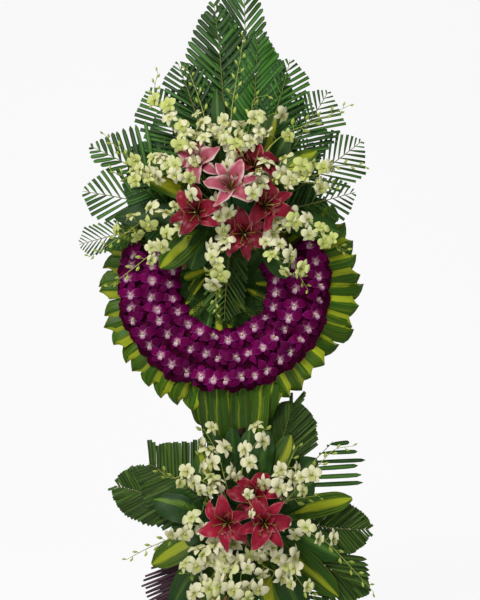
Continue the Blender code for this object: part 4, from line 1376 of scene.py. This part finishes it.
# %% Fill the eye
EYE_HUB = np.array([0.008, -0.006, 1.085])
EYE_BACK_LEAVES = 15
BACK_LEAF_ROOT = 0.008
BACK_LEAF_REACH = 0.160
BACK_LEAF_AHEAD = 0.046
BACK_LEAF_STEP = 0.003
BACK_LEAF_WIDTH = 0.074
# Start and end (right, up) and width of each strip, in millimetres, and finish
EYE_STRIPS = (
    ((-56, 1119), (-118, 1096), 28, "yellow"),
    ((-59, 1099), (-112, 1022), 16, "yellow"),
    ((-45, 1036), (-100, 989), 28, "side"),
    ((-20, 1022), (-19, 932), 22, "yellow"),
    ((-14, 1104), (-20, 1039), 20, "yellow"),
    ((-70, 1112), (-104, 1056), 22, "side"),
    ((31, 1008), (9, 955), 24, "yellow"),
    ((20, 1042), (89, 977), 18, "side"),
    ((59, 1067), (129, 1028), 22, "yellow"),
    ((84, 1084), (137, 1076), 18, "yellow"),
    ((-39, 1036), (-58, 932), 26, "plain"),
    ((34, 1022), (53, 935), 26, "plain"),
)
STRIP_ROOT_DEPTH = -0.046
STRIP_TIP_DEPTH = -0.060
STRIP_ARCH = 0.004


def eye_strip(name, start, end, width):
    """A strip of leaf laid over the back leaves, from the middle outwards to the ring's edge."""
    (x, height), (tip_x, tip_height) = metres(start, end)
    root, tip = (x, STRIP_ROOT_DEPTH, height), (tip_x, STRIP_TIP_DEPTH, tip_height)
    return broad_leaf(name, root, tip, width / 1000, STRIP_ARCH, shape=STRIP_SHAPE)


def eye_back_leaf(i):
    """A dark leaf from the mast outwards and forwards until it lies on the ring's front."""
    angle = 2 * math.pi * i / EYE_BACK_LEAVES
    outward = np.array([math.cos(angle), 0.0, math.sin(angle)])
    tip = EYE_HUB + outward * BACK_LEAF_REACH + FORWARD * (BACK_LEAF_AHEAD + BACK_LEAF_STEP * (i % 3))
    root = EYE_HUB + outward * BACK_LEAF_ROOT
    return broad_leaf(f"eye_back{i}", root, tip, BACK_LEAF_WIDTH, 0.0, shape=STRIP_SHAPE)


for kind in ("side", "plain", "yellow"):
    strips = [eye_strip(f"eye{i}", *row[:3]) for i, row in enumerate(EYE_STRIPS) if row[3] == kind]
    if kind == "plain":
        strips += [eye_back_leaf(i) for i in range(EYE_BACK_LEAVES)]
    finish_piece(f"eye_leaves_{kind}", join(strips), [LEAF_FINISHES[kind]])


SPRIG = frond_style(7.5, 4.2, (60, 40), width=0.050, bare=0.010, bow=0.006)


def fern_sprigs(name, hub, count, angles, reach, ahead):
    """Small fronds that fan out from a hub between two angles."""
    roll = dice(name)
    made = []
    for i in range(count):
        angle = math.radians(angles[0] + (angles[1] - angles[0]) * (i + roll.uniform(0.2, 0.8)) / count)
        outward = np.array([math.cos(angle), 0.0, math.sin(angle)])
        start = hub + outward * reach * roll.uniform(0.25, 0.5)
        end = hub + outward * reach * roll.uniform(0.85, 1.1) + FORWARD * ahead * roll.uniform(0.6, 1.2)
        made.append(frond(f"{name}{i}", start, end, **SPRIG))
    return join(made)


fern_green = leaf_finish("fern_green", "#1B3510", "#3F661E", width=0.4, veins=3.0, variation=0.8,
                         roughness=0.55)
# Each row: name, hub, how many, between which angles, how far out and how far ahead
for name, *sprigs in (("eye_fern", EYE_HUB + FORWARD * 0.02, 15, (190, 350), 0.130, 0.040),
                      ("upper_fern", upper_brick + FORWARD * 0.004, 20, (0, 360), 0.15, 0.030),
                      ("lower_fern", lower_brick + FORWARD * 0.004, 22, (0, 360), 0.16, 0.030)):
    finish_piece(name, fern_sprigs(name, *sprigs), [fern_green, fern_green])
print("eye filled:", PIECES[-6:])

# %% [markdown]
# ## Sprays of white orchids
# A spray is a green stem with flowers near the foam and ever smaller buds towards its tip. The
# flowers stand on short curved stalks, left and right in turn, and look forward. Most are half open,
# so they are squeezed a little across. Cream flowers turn lime towards the young end, and those of
# the upper tier are limier. A spray is one piece: 0 petals, 1 lips, 2 columns, 3 stems and buds.

# %% The spray maker
BUD_LENGTH = 0.019
ARM_LENGTH = 0.016
ARM_SHRINK = 0.010
HALF_OPEN = (0.70, 1.06)
UPPER_LIME = 0.24
LOWER_LIME = 0.02


def bud():
    """A closed bud along +z: radius follows a sine that is fuller near its foot."""
    t = np.linspace(0.03, 0.985, 6)
    path = np.stack([0.0015 * np.sin(3 * t), 0.002 * t ** 2, BUD_LENGTH * t], axis=-1)
    return stem(path, 0.0050 * np.sin(math.pi * t ** 0.75) ** 0.8, 6, facing=(0, 1, 0.1), slot=3)


BUD = bud()


def route_line(points, rows=48):
    """A line through a route: points are spaced evenly on the straight runs, then each is averaged
    with its neighbours a few times, which rounds the corners."""
    points = np.asarray(points, float)
    runs = np.concatenate([[0], np.cumsum(np.linalg.norm(np.diff(points, axis=0), axis=1))])
    share = np.linspace(0, runs[-1], rows)
    line = np.stack([np.interp(share, runs, points[:, k]) for k in range(3)], axis=-1)
    for _ in range(10):
        line[1:-1] = (line[:-2] + 2 * line[1:-1] + line[2:]) / 4
    return line


def spray(name, route, flowers, buds, first, last, size=1.0):
    """A stem on a route, flowers from the first to the last share of it, buds from there to the tip.
    Age grows from 0 at the first flower to 1 at the tip: buds shrink with it, and lime deepens."""
    roll = dice(name)
    path = route_line(route)
    t = np.linspace(0, 1, len(path))
    parts = [stem(path, profile(t, (0, 0.6, 1), (0.0021, 0.0014, 0.0006)), slot=3)]
    along, across, _ = frames(path, FORWARD)
    count = flowers + buds
    young_end = np.linspace(last + 0.05 if flowers else first, 0.995, buds)
    share = np.concatenate([np.linspace(first, last, flowers), young_end])
    seat, heading, side = (np.stack([np.interp(share, t, v[:, k]) for k in range(3)], axis=-1)
                           for v in (path, along, across))
    swing = np.where(np.arange(count) % 2, 1.0, -1.0) * roll.uniform(0.3, 1.3, count)
    front = roll.uniform(0.2, 1.1, count)
    ahead = roll.uniform(0.1, 0.7, count)
    way = unit(side * swing[:, None] + FORWARD * front[:, None] + heading * ahead[:, None])
    is_bud = np.arange(count) >= flowers
    age = np.clip((share - first) / (1 - first), 0, 1) * min(0.25 + buds / 7, 1.0)
    arm = np.where(is_bud, ARM_LENGTH - ARM_SHRINK * age, ARM_LENGTH) * roll.uniform(0.8, 1.2, count) * size
    end = seat + way * arm[:, None]
    elbow = seat + (way * 0.5 + heading * 0.35) * arm[:, None]
    parts.append(stem(bend(seat, elbow, end, 4), 0.0009, 4, slot=3))
    facing = way * 0.75 + FORWARD * 0.75 - UP * 0.10 + roll.normal(0, 0.55, way.shape)
    facing[is_bud] = way[is_bud] + heading[is_bud] * 0.9
    upward = UP + RIGHT * roll.normal(0, 0.5, count)[:, None]
    scale = np.where(is_bud, 1.25 - 0.65 * age, roll.uniform(0.82, 1.12, count)) * size
    axes = look(facing, upward, scale)
    axes[..., 0] *= np.where(is_bud, 1.0, roll.uniform(*HALF_OPEN, count))[:, None]
    lime = UPPER_LIME if name.startswith("upper") else LOWER_LIME
    tint = np.clip(age + roll.normal(lime, 0.26, count), 0, 1)
    young = ~is_bud & (np.arange(count) >= flowers - 2) & (buds > 2)
    grown = ~is_bud & ~young
    offset = unit(facing) * (0.010 * scale)[:, None]
    for shell, kind, shift in ((open_orchid, grown, 1), (young_orchid, young, 1), (BUD, is_bud, 0)):
        if kind.any():
            parts.append(copies(shell, axes[kind], (end + shift * offset)[kind], tint[kind]))
    return join(parts)


white_petal = petal_finish("white_petal", "#C4CE74", "#F0ECC2", "#F6F4D4", 0.33, 0.75, 0.22, 0.0, soft=0.05)
white_lip = petal_finish("white_lip", "#A9B63C", "#E2E29C", "#F2EFCC", 0.9, 0.9)
white_column = petal_finish("white_column", "#ABAE50", "#D9D49C", "#E4DEB8", 0.6, 0.9)
bud_green = leaf_finish("bud_green", "#93A83A", "#CBD676", veins=3.0, variation=0.5, roughness=0.42)
WHITE_SPRAY = [white_petal, white_lip, white_column, bud_green]
print("spray maker ready")

# %% [markdown]
# ## Young flowers are limier
# The flowers near the tip of a stem have just opened and are still lime. A material for every shade
# would be too many. Each flower carries its age as its tint, and a small group lays lime over the
# petal's colour by that number.

# %% Tint the white petals towards lime
def lime_group():
    """Lime over a colour, by the tint that each flower carries."""
    inputs = {"Color": rgb("#FFFFFF"), "Lime": rgb("#C8D85C"), "Amount": 0.8}
    group, g, given, end = make_group("lime_tint", inputs, COLOUR_ONLY)
    share = g.step(g.place()[2], 0.20, 0.95) * given["Amount"]
    g.link(g.mix(share, given["Color"], given["Lime"]), end["Color"])
    return group


LIME_TINT = lime_group()
pass_through(white_petal, LIME_TINT, {"Lime": rgb("#CBD961"), "Amount": 0.72})
pass_through(white_lip, LIME_TINT, {"Lime": rgb("#A8B645"), "Amount": 0.6})
print("white petals tinted")

# %% [markdown]
# ## Where the sprays go
# Eight sprays stand for the frame's spray solids; the others fill the cloud of flowers round the
# lilies. A stem's route is a list of given points, from where it leaves the foam to its
# tip, each measured in millimetres from the middle of the brick's front as (right, back, up).

# %% Push in the sprays
# Each row: flowers, buds, the first and last share of the stem that bear flowers, and its route
UPPER_SPRAYS = {
    "top": (3, 12, 0.3, 0.42, (-17, 10, 44), (-3, -50, 156), (-3, -40, 267), (19, -20, 406),
        (33, -10, 497)),
    "left": (7, 5, 0.42, 0.74, (-50, 10, 41), (-98, -60, 92), (-164, -60, 86), (-224, -50, 89),
        (-281, -30, 77), (-337, -20, 107)),
    "right": (8, 6, 0.1, 0.68, (56, 10, 41), (82, -70, 89), (142, -70, 103), (209, -50, 108),
        (270, -30, 119), (371, -10, 121)),
    "hanging": (8, 7, 0.28, 0.66, (-17, 10, -33), (-32, -50, -107), (-40, -50, -146), (-43, -30, -217),
        (-43, -20, -295)),
    "hanging_right": (7, 5, 0.22, 0.74, (66, 10, -44), (107, -50, -96), (115, -50, -140), (161, -40, -155),
        (208, -20, -229)),
    "left_mid": (4, 7, 0.44, 0.66, (-56, 10, 58), (-110, -50, 134), (-184, -50, 122), (-248, -30, 111),
        (-299, -20, 150), (-356, -10, 213)),
    "right_mid": (6, 4, 0.12, 0.8, (56, 10, 29), (109, -70, 56), (164, -60, 64), (223, -40, 66),
        (287, -20, 62)),
    "right_low": (7, 4, 0.32, 0.84, (72, 10, -10), (154, -40, -21), (191, -50, -49), (240, -40, -85),
        (312, -20, -120)),
    "centre": (5, 0, 0.35, 0.98, (-17, 10, 7), (-27, -80, 9), (-24, -90, -16), (-32, -80, -38),
        (-40, -60, -59)),
    "crown": (8, 0, 0.3, 0.98, (22, 10, 52), (55, -30, 184), (11, -40, 207), (-44, -50, 219),
        (-99, -50, 219), (-132, -40, 204)),
    "crown_low": (4, 0, 0.45, 0.98, (-11, 10, 41), (22, -30, 162), (-16, -40, 187), (-74, -50, 185),
        (-126, -50, 185)),
    "top_left": (7, 6, 0.22, 0.72, (-50, 10, 52), (-121, -50, 156), (-154, -50, 230), (-177, -40, 290),
        (-222, -30, 313), (-207, -20, 389)),
    "top_left_inner": (3, 6, 0.3, 0.55, (-28, 10, 58), (-66, -50, 207), (-86, -40, 290), (-106, -30, 351),
        (-126, -20, 400)),
    "arc": (4, 4, 0.28, 0.62, (17, 10, 58), (39, -60, 193), (55, -50, 253), (55, -40, 307),
        (100, -30, 319)),
    "right_top": (2, 10, 0.42, 0.52, (56, 10, 47), (93, -60, 154), (141, -40, 204), (205, -30, 233),
        (272, -20, 265), (329, -10, 296)),
    "high_right": (4, 0, 0.45, 0.98, (33, 10, 58), (55, -50, 162), (66, -50, 219), (88, -50, 247),
        (116, -40, 264)),
    "left_low": (8, 8, 0.22, 0.68, (-72, 10, -22), (-136, -50, -29), (-196, -50, -18), (-235, -40, -32),
        (-284, -30, -69), (-340, -20, -104), (-392, -10, -135)),
    "left_hanging": (5, 7, 0.3, 0.6, (-66, 10, -39), (-130, -50, -57), (-174, -50, -85), (-207, -40, -122),
        (-261, -30, -164), (-335, -20, -220)),
    "near_left": (2, 0, 0.74, 0.98, (-39, 10, 15), (-86, -100, 26), (-107, -100, 37), (-124, -100, 59)),
    "near_right": (3, 0, 0.55, 0.98, (39, 10, 15), (87, -100, 48), (65, -110, 51), (49, -120, 27)),
    "left_more": (4, 0, 0.55, 0.98, (-56, 10, 41), (-131, -50, 117), (-186, -60, 109), (-225, -50, 111),
        (-258, -40, 80)),
    "right_more": (5, 0, 0.35, 0.98, (61, 10, 35), (137, -60, 75), (180, -70, 89), (224, -60, 80),
        (258, -50, 94)),
    "over": (2, 0, 0.6, 0.98, (0, 10, 41), (11, -70, 123), (3, -80, 148)),
    "right_under": (4, 0, 0.4, 0.98, (72, 10, -33), (121, -40, -55), (159, -50, -29), (147, -50, -74)),
}
LOWER_SPRAYS = {
    "left": (5, 4, 0.24, 0.74, (-46, 10, 32), (-77, -50, 84), (-120, -50, 111), (-158, -40, 122),
        (-191, -30, 106), (-229, -20, 133)),
    "hanging": (8, 2, 0.16, 0.9, (-24, 10, -43), (-40, -60, -74), (-87, -60, -84), (-125, -50, -105),
        (-146, -40, -142)),
    "right": (5, 9, 0.18, 0.5, (52, 10, -11), (125, -50, -22), (174, -40, -32), (227, -30, -59),
        (286, -20, -122), (350, -10, -191)),
    "left_high": (6, 1, 0.3, 0.92, (-29, 10, 37), (-51, -40, 116), (-64, -30, 170), (-86, -20, 211),
        (-108, -20, 246)),
    "left_high_small": (2, 2, 0.6, 0.8, (-46, 10, 37), (-83, -30, 122), (-105, -20, 171), (-122, -20, 198)),
    "left_inner": (2, 0, 0.6, 0.98, (-35, 10, 32), (-61, -50, 100), (-83, -60, 100), (-93, -60, 79)),
    "left_low": (4, 8, 0.2, 0.5, (-56, 10, -22), (-109, -50, -16), (-152, -50, -11), (-189, -40, -48),
        (-254, -20, -74), (-314, -10, -106)),
    "left_buds": (0, 4, 0.4, 0.6, (-67, 10, 21), (-99, -40, 58), (-109, -40, 21)),
    "down_left": (6, 2, 0.3, 0.85, (-29, 10, -54), (-61, -50, -111), (-93, -40, -168), (-125, -30, -221)),
    "top_right": (5, 1, 0.42, 0.92, (8, 10, 37), (-8, -50, 100), (0, -40, 148), (30, -30, 197),
        (60, -20, 246)),
    "right_high": (6, 4, 0.36, 0.7, (36, 10, 32), (72, -50, 95), (110, -50, 105), (121, -40, 148),
        (149, -20, 198)),
    "right_far": (4, 7, 0.3, 0.55, (52, 10, 27), (115, -50, 47), (150, -40, 90), (192, -30, 133),
        (247, -20, 192), (299, -10, 198)),
    "right_mid": (1, 5, 0.5, 0.55, (52, 10, 16), (126, -40, 53), (167, -30, 61), (205, -20, 64)),
    "down_right": (9, 3, 0.14, 0.82, (35, 10, -43), (61, -60, -95), (114, -60, -84), (125, -50, -126),
        (159, -40, -174), (194, -30, -210)),
    "down": (7, 1, 0.25, 0.9, (8, 10, -54), (8, -50, -105), (-8, -50, -152), (3, -40, -215)),
    "down_mid": (4, 0, 0.3, 0.9, (19, 10, -54), (51, -50, -121), (88, -50, -137), (51, -40, -184)),
    "low_fill": (6, 0, 0.2, 0.98, (-46, 10, -54), (-82, -50, -105), (-56, -50, -142), (-29, -40, -184),
        (-45, -30, -221)),
    "over": (2, 0, 0.7, 0.98, (8, 10, 27), (8, -130, 72), (13, -140, 51), (34, -140, 17)),
}
SMALL_FLOWERS = {"lower_spray_over": 0.62, "upper_spray_centre": 0.9}
SPRAYS = {f"{tier}_spray_{place}": row for tier, rows in (("upper", UPPER_SPRAYS), ("lower", LOWER_SPRAYS))
          for place, row in rows.items()}
for name, (flowers, buds, first, last, *route) in SPRAYS.items():
    nodes = [name] if name in frame["nodes"] else []
    path = own_brick(name) + metres(*route)
    made = spray(name, path, flowers, buds, first, last, SMALL_FLOWERS.get(name, 1.0))
    finish_piece(f"{name}_flowers", made, WHITE_SPRAY, nodes)
print("sprays:", len(SPRAYS), "flowers:", sum(row[0] for row in SPRAYS.values()))

# %% [markdown]
# ## Lilies
# Pink lilies open as trumpets of six petals: three broad ones in front, three narrower ones
# behind. Each petal leaves the throat steeply, opens, and rolls back at its tip. A good way to draw
# such a curve is to say how its slope turns and add up the steps: the slope goes from 16 degrees off
# the axis at the throat to well past a right angle at the tip.

# %% The lily maker
LILY_PETAL = 0.096
LILY_ROWS = 18
LILY_COLUMNS = 9


def lily_petals(angles, length, half_width, behind, name):
    """Petals on curves whose slope turns from 16 to about 140 degrees. Half width: a sine that peaks
    at two fifths. Lift: a channel near the throat, a midrib groove, and a wave on the margin."""
    roll = dice(name)
    count = len(angles)
    t = np.linspace(0, 1, LILY_ROWS)
    s = np.linspace(-1, 1, LILY_COLUMNS)
    last = roll.uniform(100, 150, count)[:, None]
    slope = np.radians(16 + last * t ** 1.35)
    step = length / (LILY_ROWS - 1)
    out = 0.004 + np.cumsum(np.sin(slope) * step, axis=1)
    rise = -behind + np.cumsum(np.cos(slope) * step, axis=1)
    sway = roll.normal(0, 0.26, count)[:, None] * t ** 2
    path = spread(angles[:, None] + sway, out, rise)
    shape = np.maximum(np.sin(math.pi * t ** 0.78) ** 0.82, 0.04)
    shape = np.where(t < 0.18, np.maximum(shape, 0.28), shape)
    lift = half_width * shape[:, None] * (s ** 2 * profile(t, (0, 0.4, 1), (0.95, 0.36, -0.30))[:, None])
    lift = lift - 0.0024 * np.exp(-(s / 0.16) ** 2) * profile(t, (0, 0.7, 1), (1, 0.8, 0))[:, None]
    phase = 13 * t[:, None] + roll.uniform(0, 6, count)[:, None, None] + 1.5 * s
    wave = 0.0064 * np.abs(s) ** 2.2 * np.sin(phase)
    wave = wave * profile(t, (0, 0.3, 0.9, 1), (0, 1, 0.8, 0))[:, None]
    return blade(path, half_width * shape, lift + wave, facing=(0, 0, 1), thick=0.0010,
                 columns=LILY_COLUMNS, tint=roll.uniform(0, 1, count))


def lily(name, turn):
    """Three broad petals over three narrow ones, facing +Z."""
    inner = np.radians(turn + np.array([0.0, 120.0, 240.0]))
    return join([lily_petals(inner + math.pi / 3, LILY_PETAL, 0.0165, 0.0030, name + "sepals"),
                 lily_petals(inner, LILY_PETAL * 0.97, 0.0238, 0.0, name + "petals")])


def lily_heart(name):
    """Six filaments that part slowly, an anther across each end, and a pistil in the middle. Slots:
    0 green filaments, 1 anthers."""
    roll = dice(name)
    angles = np.radians(np.arange(6) * 60 + roll.normal(0, 9, 6))
    t = np.linspace(0, 1, 9)
    out = 0.003 + 0.027 * t ** 1.7
    rise = -0.004 + 0.056 * t - 0.006 * t ** 2
    path = spread(angles, out, rise)
    filaments = stem(path, profile(t, (0, 1), (0.0012, 0.0007)), facing=(0.1, 0.2, 1.0), tint=0.6)
    ends = path[:, -1]
    sideways = np.stack([-np.sin(angles), np.cos(angles), 0.3 * np.ones(6)], axis=-1)
    s = np.linspace(-1, 1, 6)
    path = ends[:, None] + sideways[:, None] * (0.0058 * s)[:, None]
    thick = 0.0016 * np.sqrt(np.maximum(1 - s ** 2, 0.03))
    anthers = stem(path, thick, facing=(0.1, 0.2, 1.0), slot=1, tint=roll.uniform(0, 1, 6))
    t = np.linspace(0, 1, 10)
    path = np.stack([0.004 * t ** 2, -0.007 * t ** 2, 0.066 * t - 0.004], axis=-1)
    thick = profile(t, (0, 0.25, 0.85, 0.93, 1), (0.0022, 0.0014, 0.0012, 0.0027, 0.0020))
    return join([filaments, anthers, stem(path, thick, facing=(0, 1, 0.2), tint=0.9)])


print("lily maker ready")

# %% [markdown]
# ## Lily colours
# The deep lilies of the upper tier are crimson with a lighter, pinker rim, darkened as painted
# shade, and the lower ones are a brighter crimson.
# The pale ones are rose in the middle and almost white at the edge. All have darker dots near the
# throat, which are small raised points on the real petal. The dots come from a cell pattern laid
# over the petal's own across and along numbers.

# %% Mix the lily colours
def freckle_group():
    """Dark dots on the lower half of a petal: the middle of each cell of a Voronoi pattern."""
    inputs = {"Color": rgb("#8C1C2C"), "Dots": rgb("#3A060C"), "Dot Size": 0.26}
    group, g, given, end = make_group("freckles", inputs, COLOUR_ONLY)
    across, along, tint = g.place()
    cell = g.add("ShaderNodeTexVoronoi", {"Vector": g.vector(across * 5.0, along * 20.0, tint), "Scale": 1.0})
    dot = 1.0 - g.step(cell, 0.16, given["Dot Size"])
    middle = 1.0 - g.step(abs(across), 0.35, 0.75)
    low = 1.0 - g.step(along, 0.35, 0.62)
    g.link(g.mix(dot * (middle * low), given["Color"], given["Dots"]), end["Color"])
    return group


FRECKLES = freckle_group()
LILY_SKIN = {"roughness": 0.38, "bump": 0.0008, "soft": 0.08}
# A darker copy of the bright lily: its darker crimson is painted shade.
shaded_deep_lily = petal_finish("shaded_deep_lily", "#40070D", "#86142A", "#C47C78", 0.50, 0.86, 0.8, 0.4, **LILY_SKIN)
bright_lily = petal_finish("bright_lily", "#560810", "#A21834", "#CF8A86", 0.46, 0.86, 0.8, 0.4, **LILY_SKIN)
pale_lily = petal_finish("pale_lily", "#7C1E30", "#BA566A", "#EED2C6", 0.52, 0.48, 0.5, 0.2, **LILY_SKIN)
for made, dots in ((shaded_deep_lily, "#2E050A"), (bright_lily, "#2E050A"), (pale_lily, "#6A1622")):
    pass_through(made, FRECKLES, {"Dots": rgb(dots)})
LILY_HEART = [leaf_finish("filament_green", "#8E8C3C", "#B4AC5C", veins=2.0, roughness=0.38),
              grain_finish("anther_brown", (900, 900, 900), "#4E3410", "#9A7426", 0.9, 0.0004),
              leaf_finish("stem_green", "#2F5A24", "#5E8A3A", veins=3.0, roughness=0.38)]
print("lily colours mixed")

# %% [markdown]
# ## Where the lilies go
# The nine lilies are the largest flowers: six over the top of the ring and three in the lower tier.
# They are placed one by one, because the eye goes to them first. Each has a throat, a facing, and
# a turn about its own axis, and a stalk that bends back from its throat into the foam.

# %% Open the lilies
# Each row: throat (right, up) from the brick's middle and how far ahead of its front, in millimetres,
# facing (right, up), turn in degrees, and colours
LILIES = {
    "upper_lily_left_high": ((-93, 114), 39, (-0.15, 0.28), 20, pale_lily),
    "upper_lily_centre": ((-2, 36), 104, (0.0, 0.20), 67, pale_lily),
    "upper_lily_right_high": ((58, 106), 49, (0.14, 0.42), 85, shaded_deep_lily),
    "upper_lily_left": ((-92, -23), 74, (-0.20, -0.08), 14, shaded_deep_lily),
    "upper_lily_right": ((86, -4), 74, (0.38, -0.05), 92, shaded_deep_lily),
    "upper_lily_low": ((33, -73), 34, (0.0, -0.15), 97, shaded_deep_lily),
    "lower_lily_top": ((32, 60), 34, (-0.10, 0.20), 65, bright_lily),
    "lower_lily_left": ((-39, -8), 74, (-0.25, 0.0), 93, bright_lily),
    "lower_lily_right": ((56, -8), 106, (0.05, -0.10), 8, bright_lily),
}
THROAT_BACK = 0.012
ENTRY_DEPTH = 0.025
ENTRY_LIMIT = np.array([0.1, 1.0, 0.045])
STALK_ROWS = 12
STALK_BEND = 0.035
for name, (throat, ahead, facing, turn, colours) in LILIES.items():
    brick = own_brick(name)
    right, ahead, up = metres(throat[0], ahead, throat[1])
    seat = brick + np.array([right, -ahead + THROAT_BACK, up])
    facing = np.array([[facing[0], -1.0, facing[1]]])
    axes = look(facing, UP)
    finish_piece(f"{name}_petals", copies(lily(name, turn), axes, seat[None]), [colours], [name])
    entry = brick + np.array([right * 0.5, ENTRY_DEPTH, up * 0.5]).clip(-ENTRY_LIMIT, ENTRY_LIMIT)
    path = bend(entry, seat - unit(facing[0]) * STALK_BEND, seat, STALK_ROWS)
    thick = profile(np.linspace(0, 1, STALK_ROWS), (0, 0.8, 1), (0.003, 0.003, 0.0062))
    heart = join([copies(lily_heart(name), axes, seat[None]), stem(path, thick, 8, slot=2)])
    finish_piece(f"{name}_heart", heart, LILY_HEART)
print("lilies:", len(LILIES))

# %% [markdown]
# ## Lily buds
# Two lilies are still closed: brownish, long and three-sided, between the open ones. A bud is a
# stem whose radius swells and whose ring is pinched in three places.

# %% Add the closed buds
BUD_ROWS = 16
BUD_SIDES = 18


def lily_bud(root, tip, radius):
    """Rings along a line: radius * sin(pi t^0.8)^0.7 * (1 + 0.10 cos 3 turn), which leaves three
    ridges."""
    t = np.linspace(0.0, 1.0, BUD_ROWS)
    path = bend(root, (root + tip) / 2 + FORWARD * 0.004, tip, BUD_ROWS)[None]
    _, across, out = frames(path, FORWARD + 0.1 * RIGHT)
    turn = np.arange(BUD_SIDES) * 2 * math.pi / BUD_SIDES
    swell = radius * np.maximum(np.sin(math.pi * t ** 0.8) ** 0.7, 0.16)
    size = swell[None, :, None, None] * (1 + 0.10 * np.cos(3 * turn))[:, None]
    ring = -np.cos(turn)[:, None] * across[:, :, None] + np.sin(turn)[:, None] * out[:, :, None]
    return close_rings(path[:, :, None] + size * ring, numbers(1, BUD_ROWS, np.cos(turn * 3), 0.4))


bud_skin = petal_finish("lily_bud_skin", "#5E6A2C", "#7A4430", "#8C3428", 0.5, 0.9, 0.5, roughness=0.45,
                        bump=0.0005)
upper_bud = lily_bud(*(upper_brick + metres((-30, 20, -15), (-40, -85, -20))), 0.010)
lower_bud = lily_bud(*(lower_brick + metres((-10, 20, 10), (-8, -120, 40))), 0.011)
finish_piece("lily_buds", join([upper_bud, lower_bud]), [bud_skin])
print("buds added")

# %% Report and finish
print("pieces:", len(PIECES), "triangles:", sum(count for _, count in PIECES))
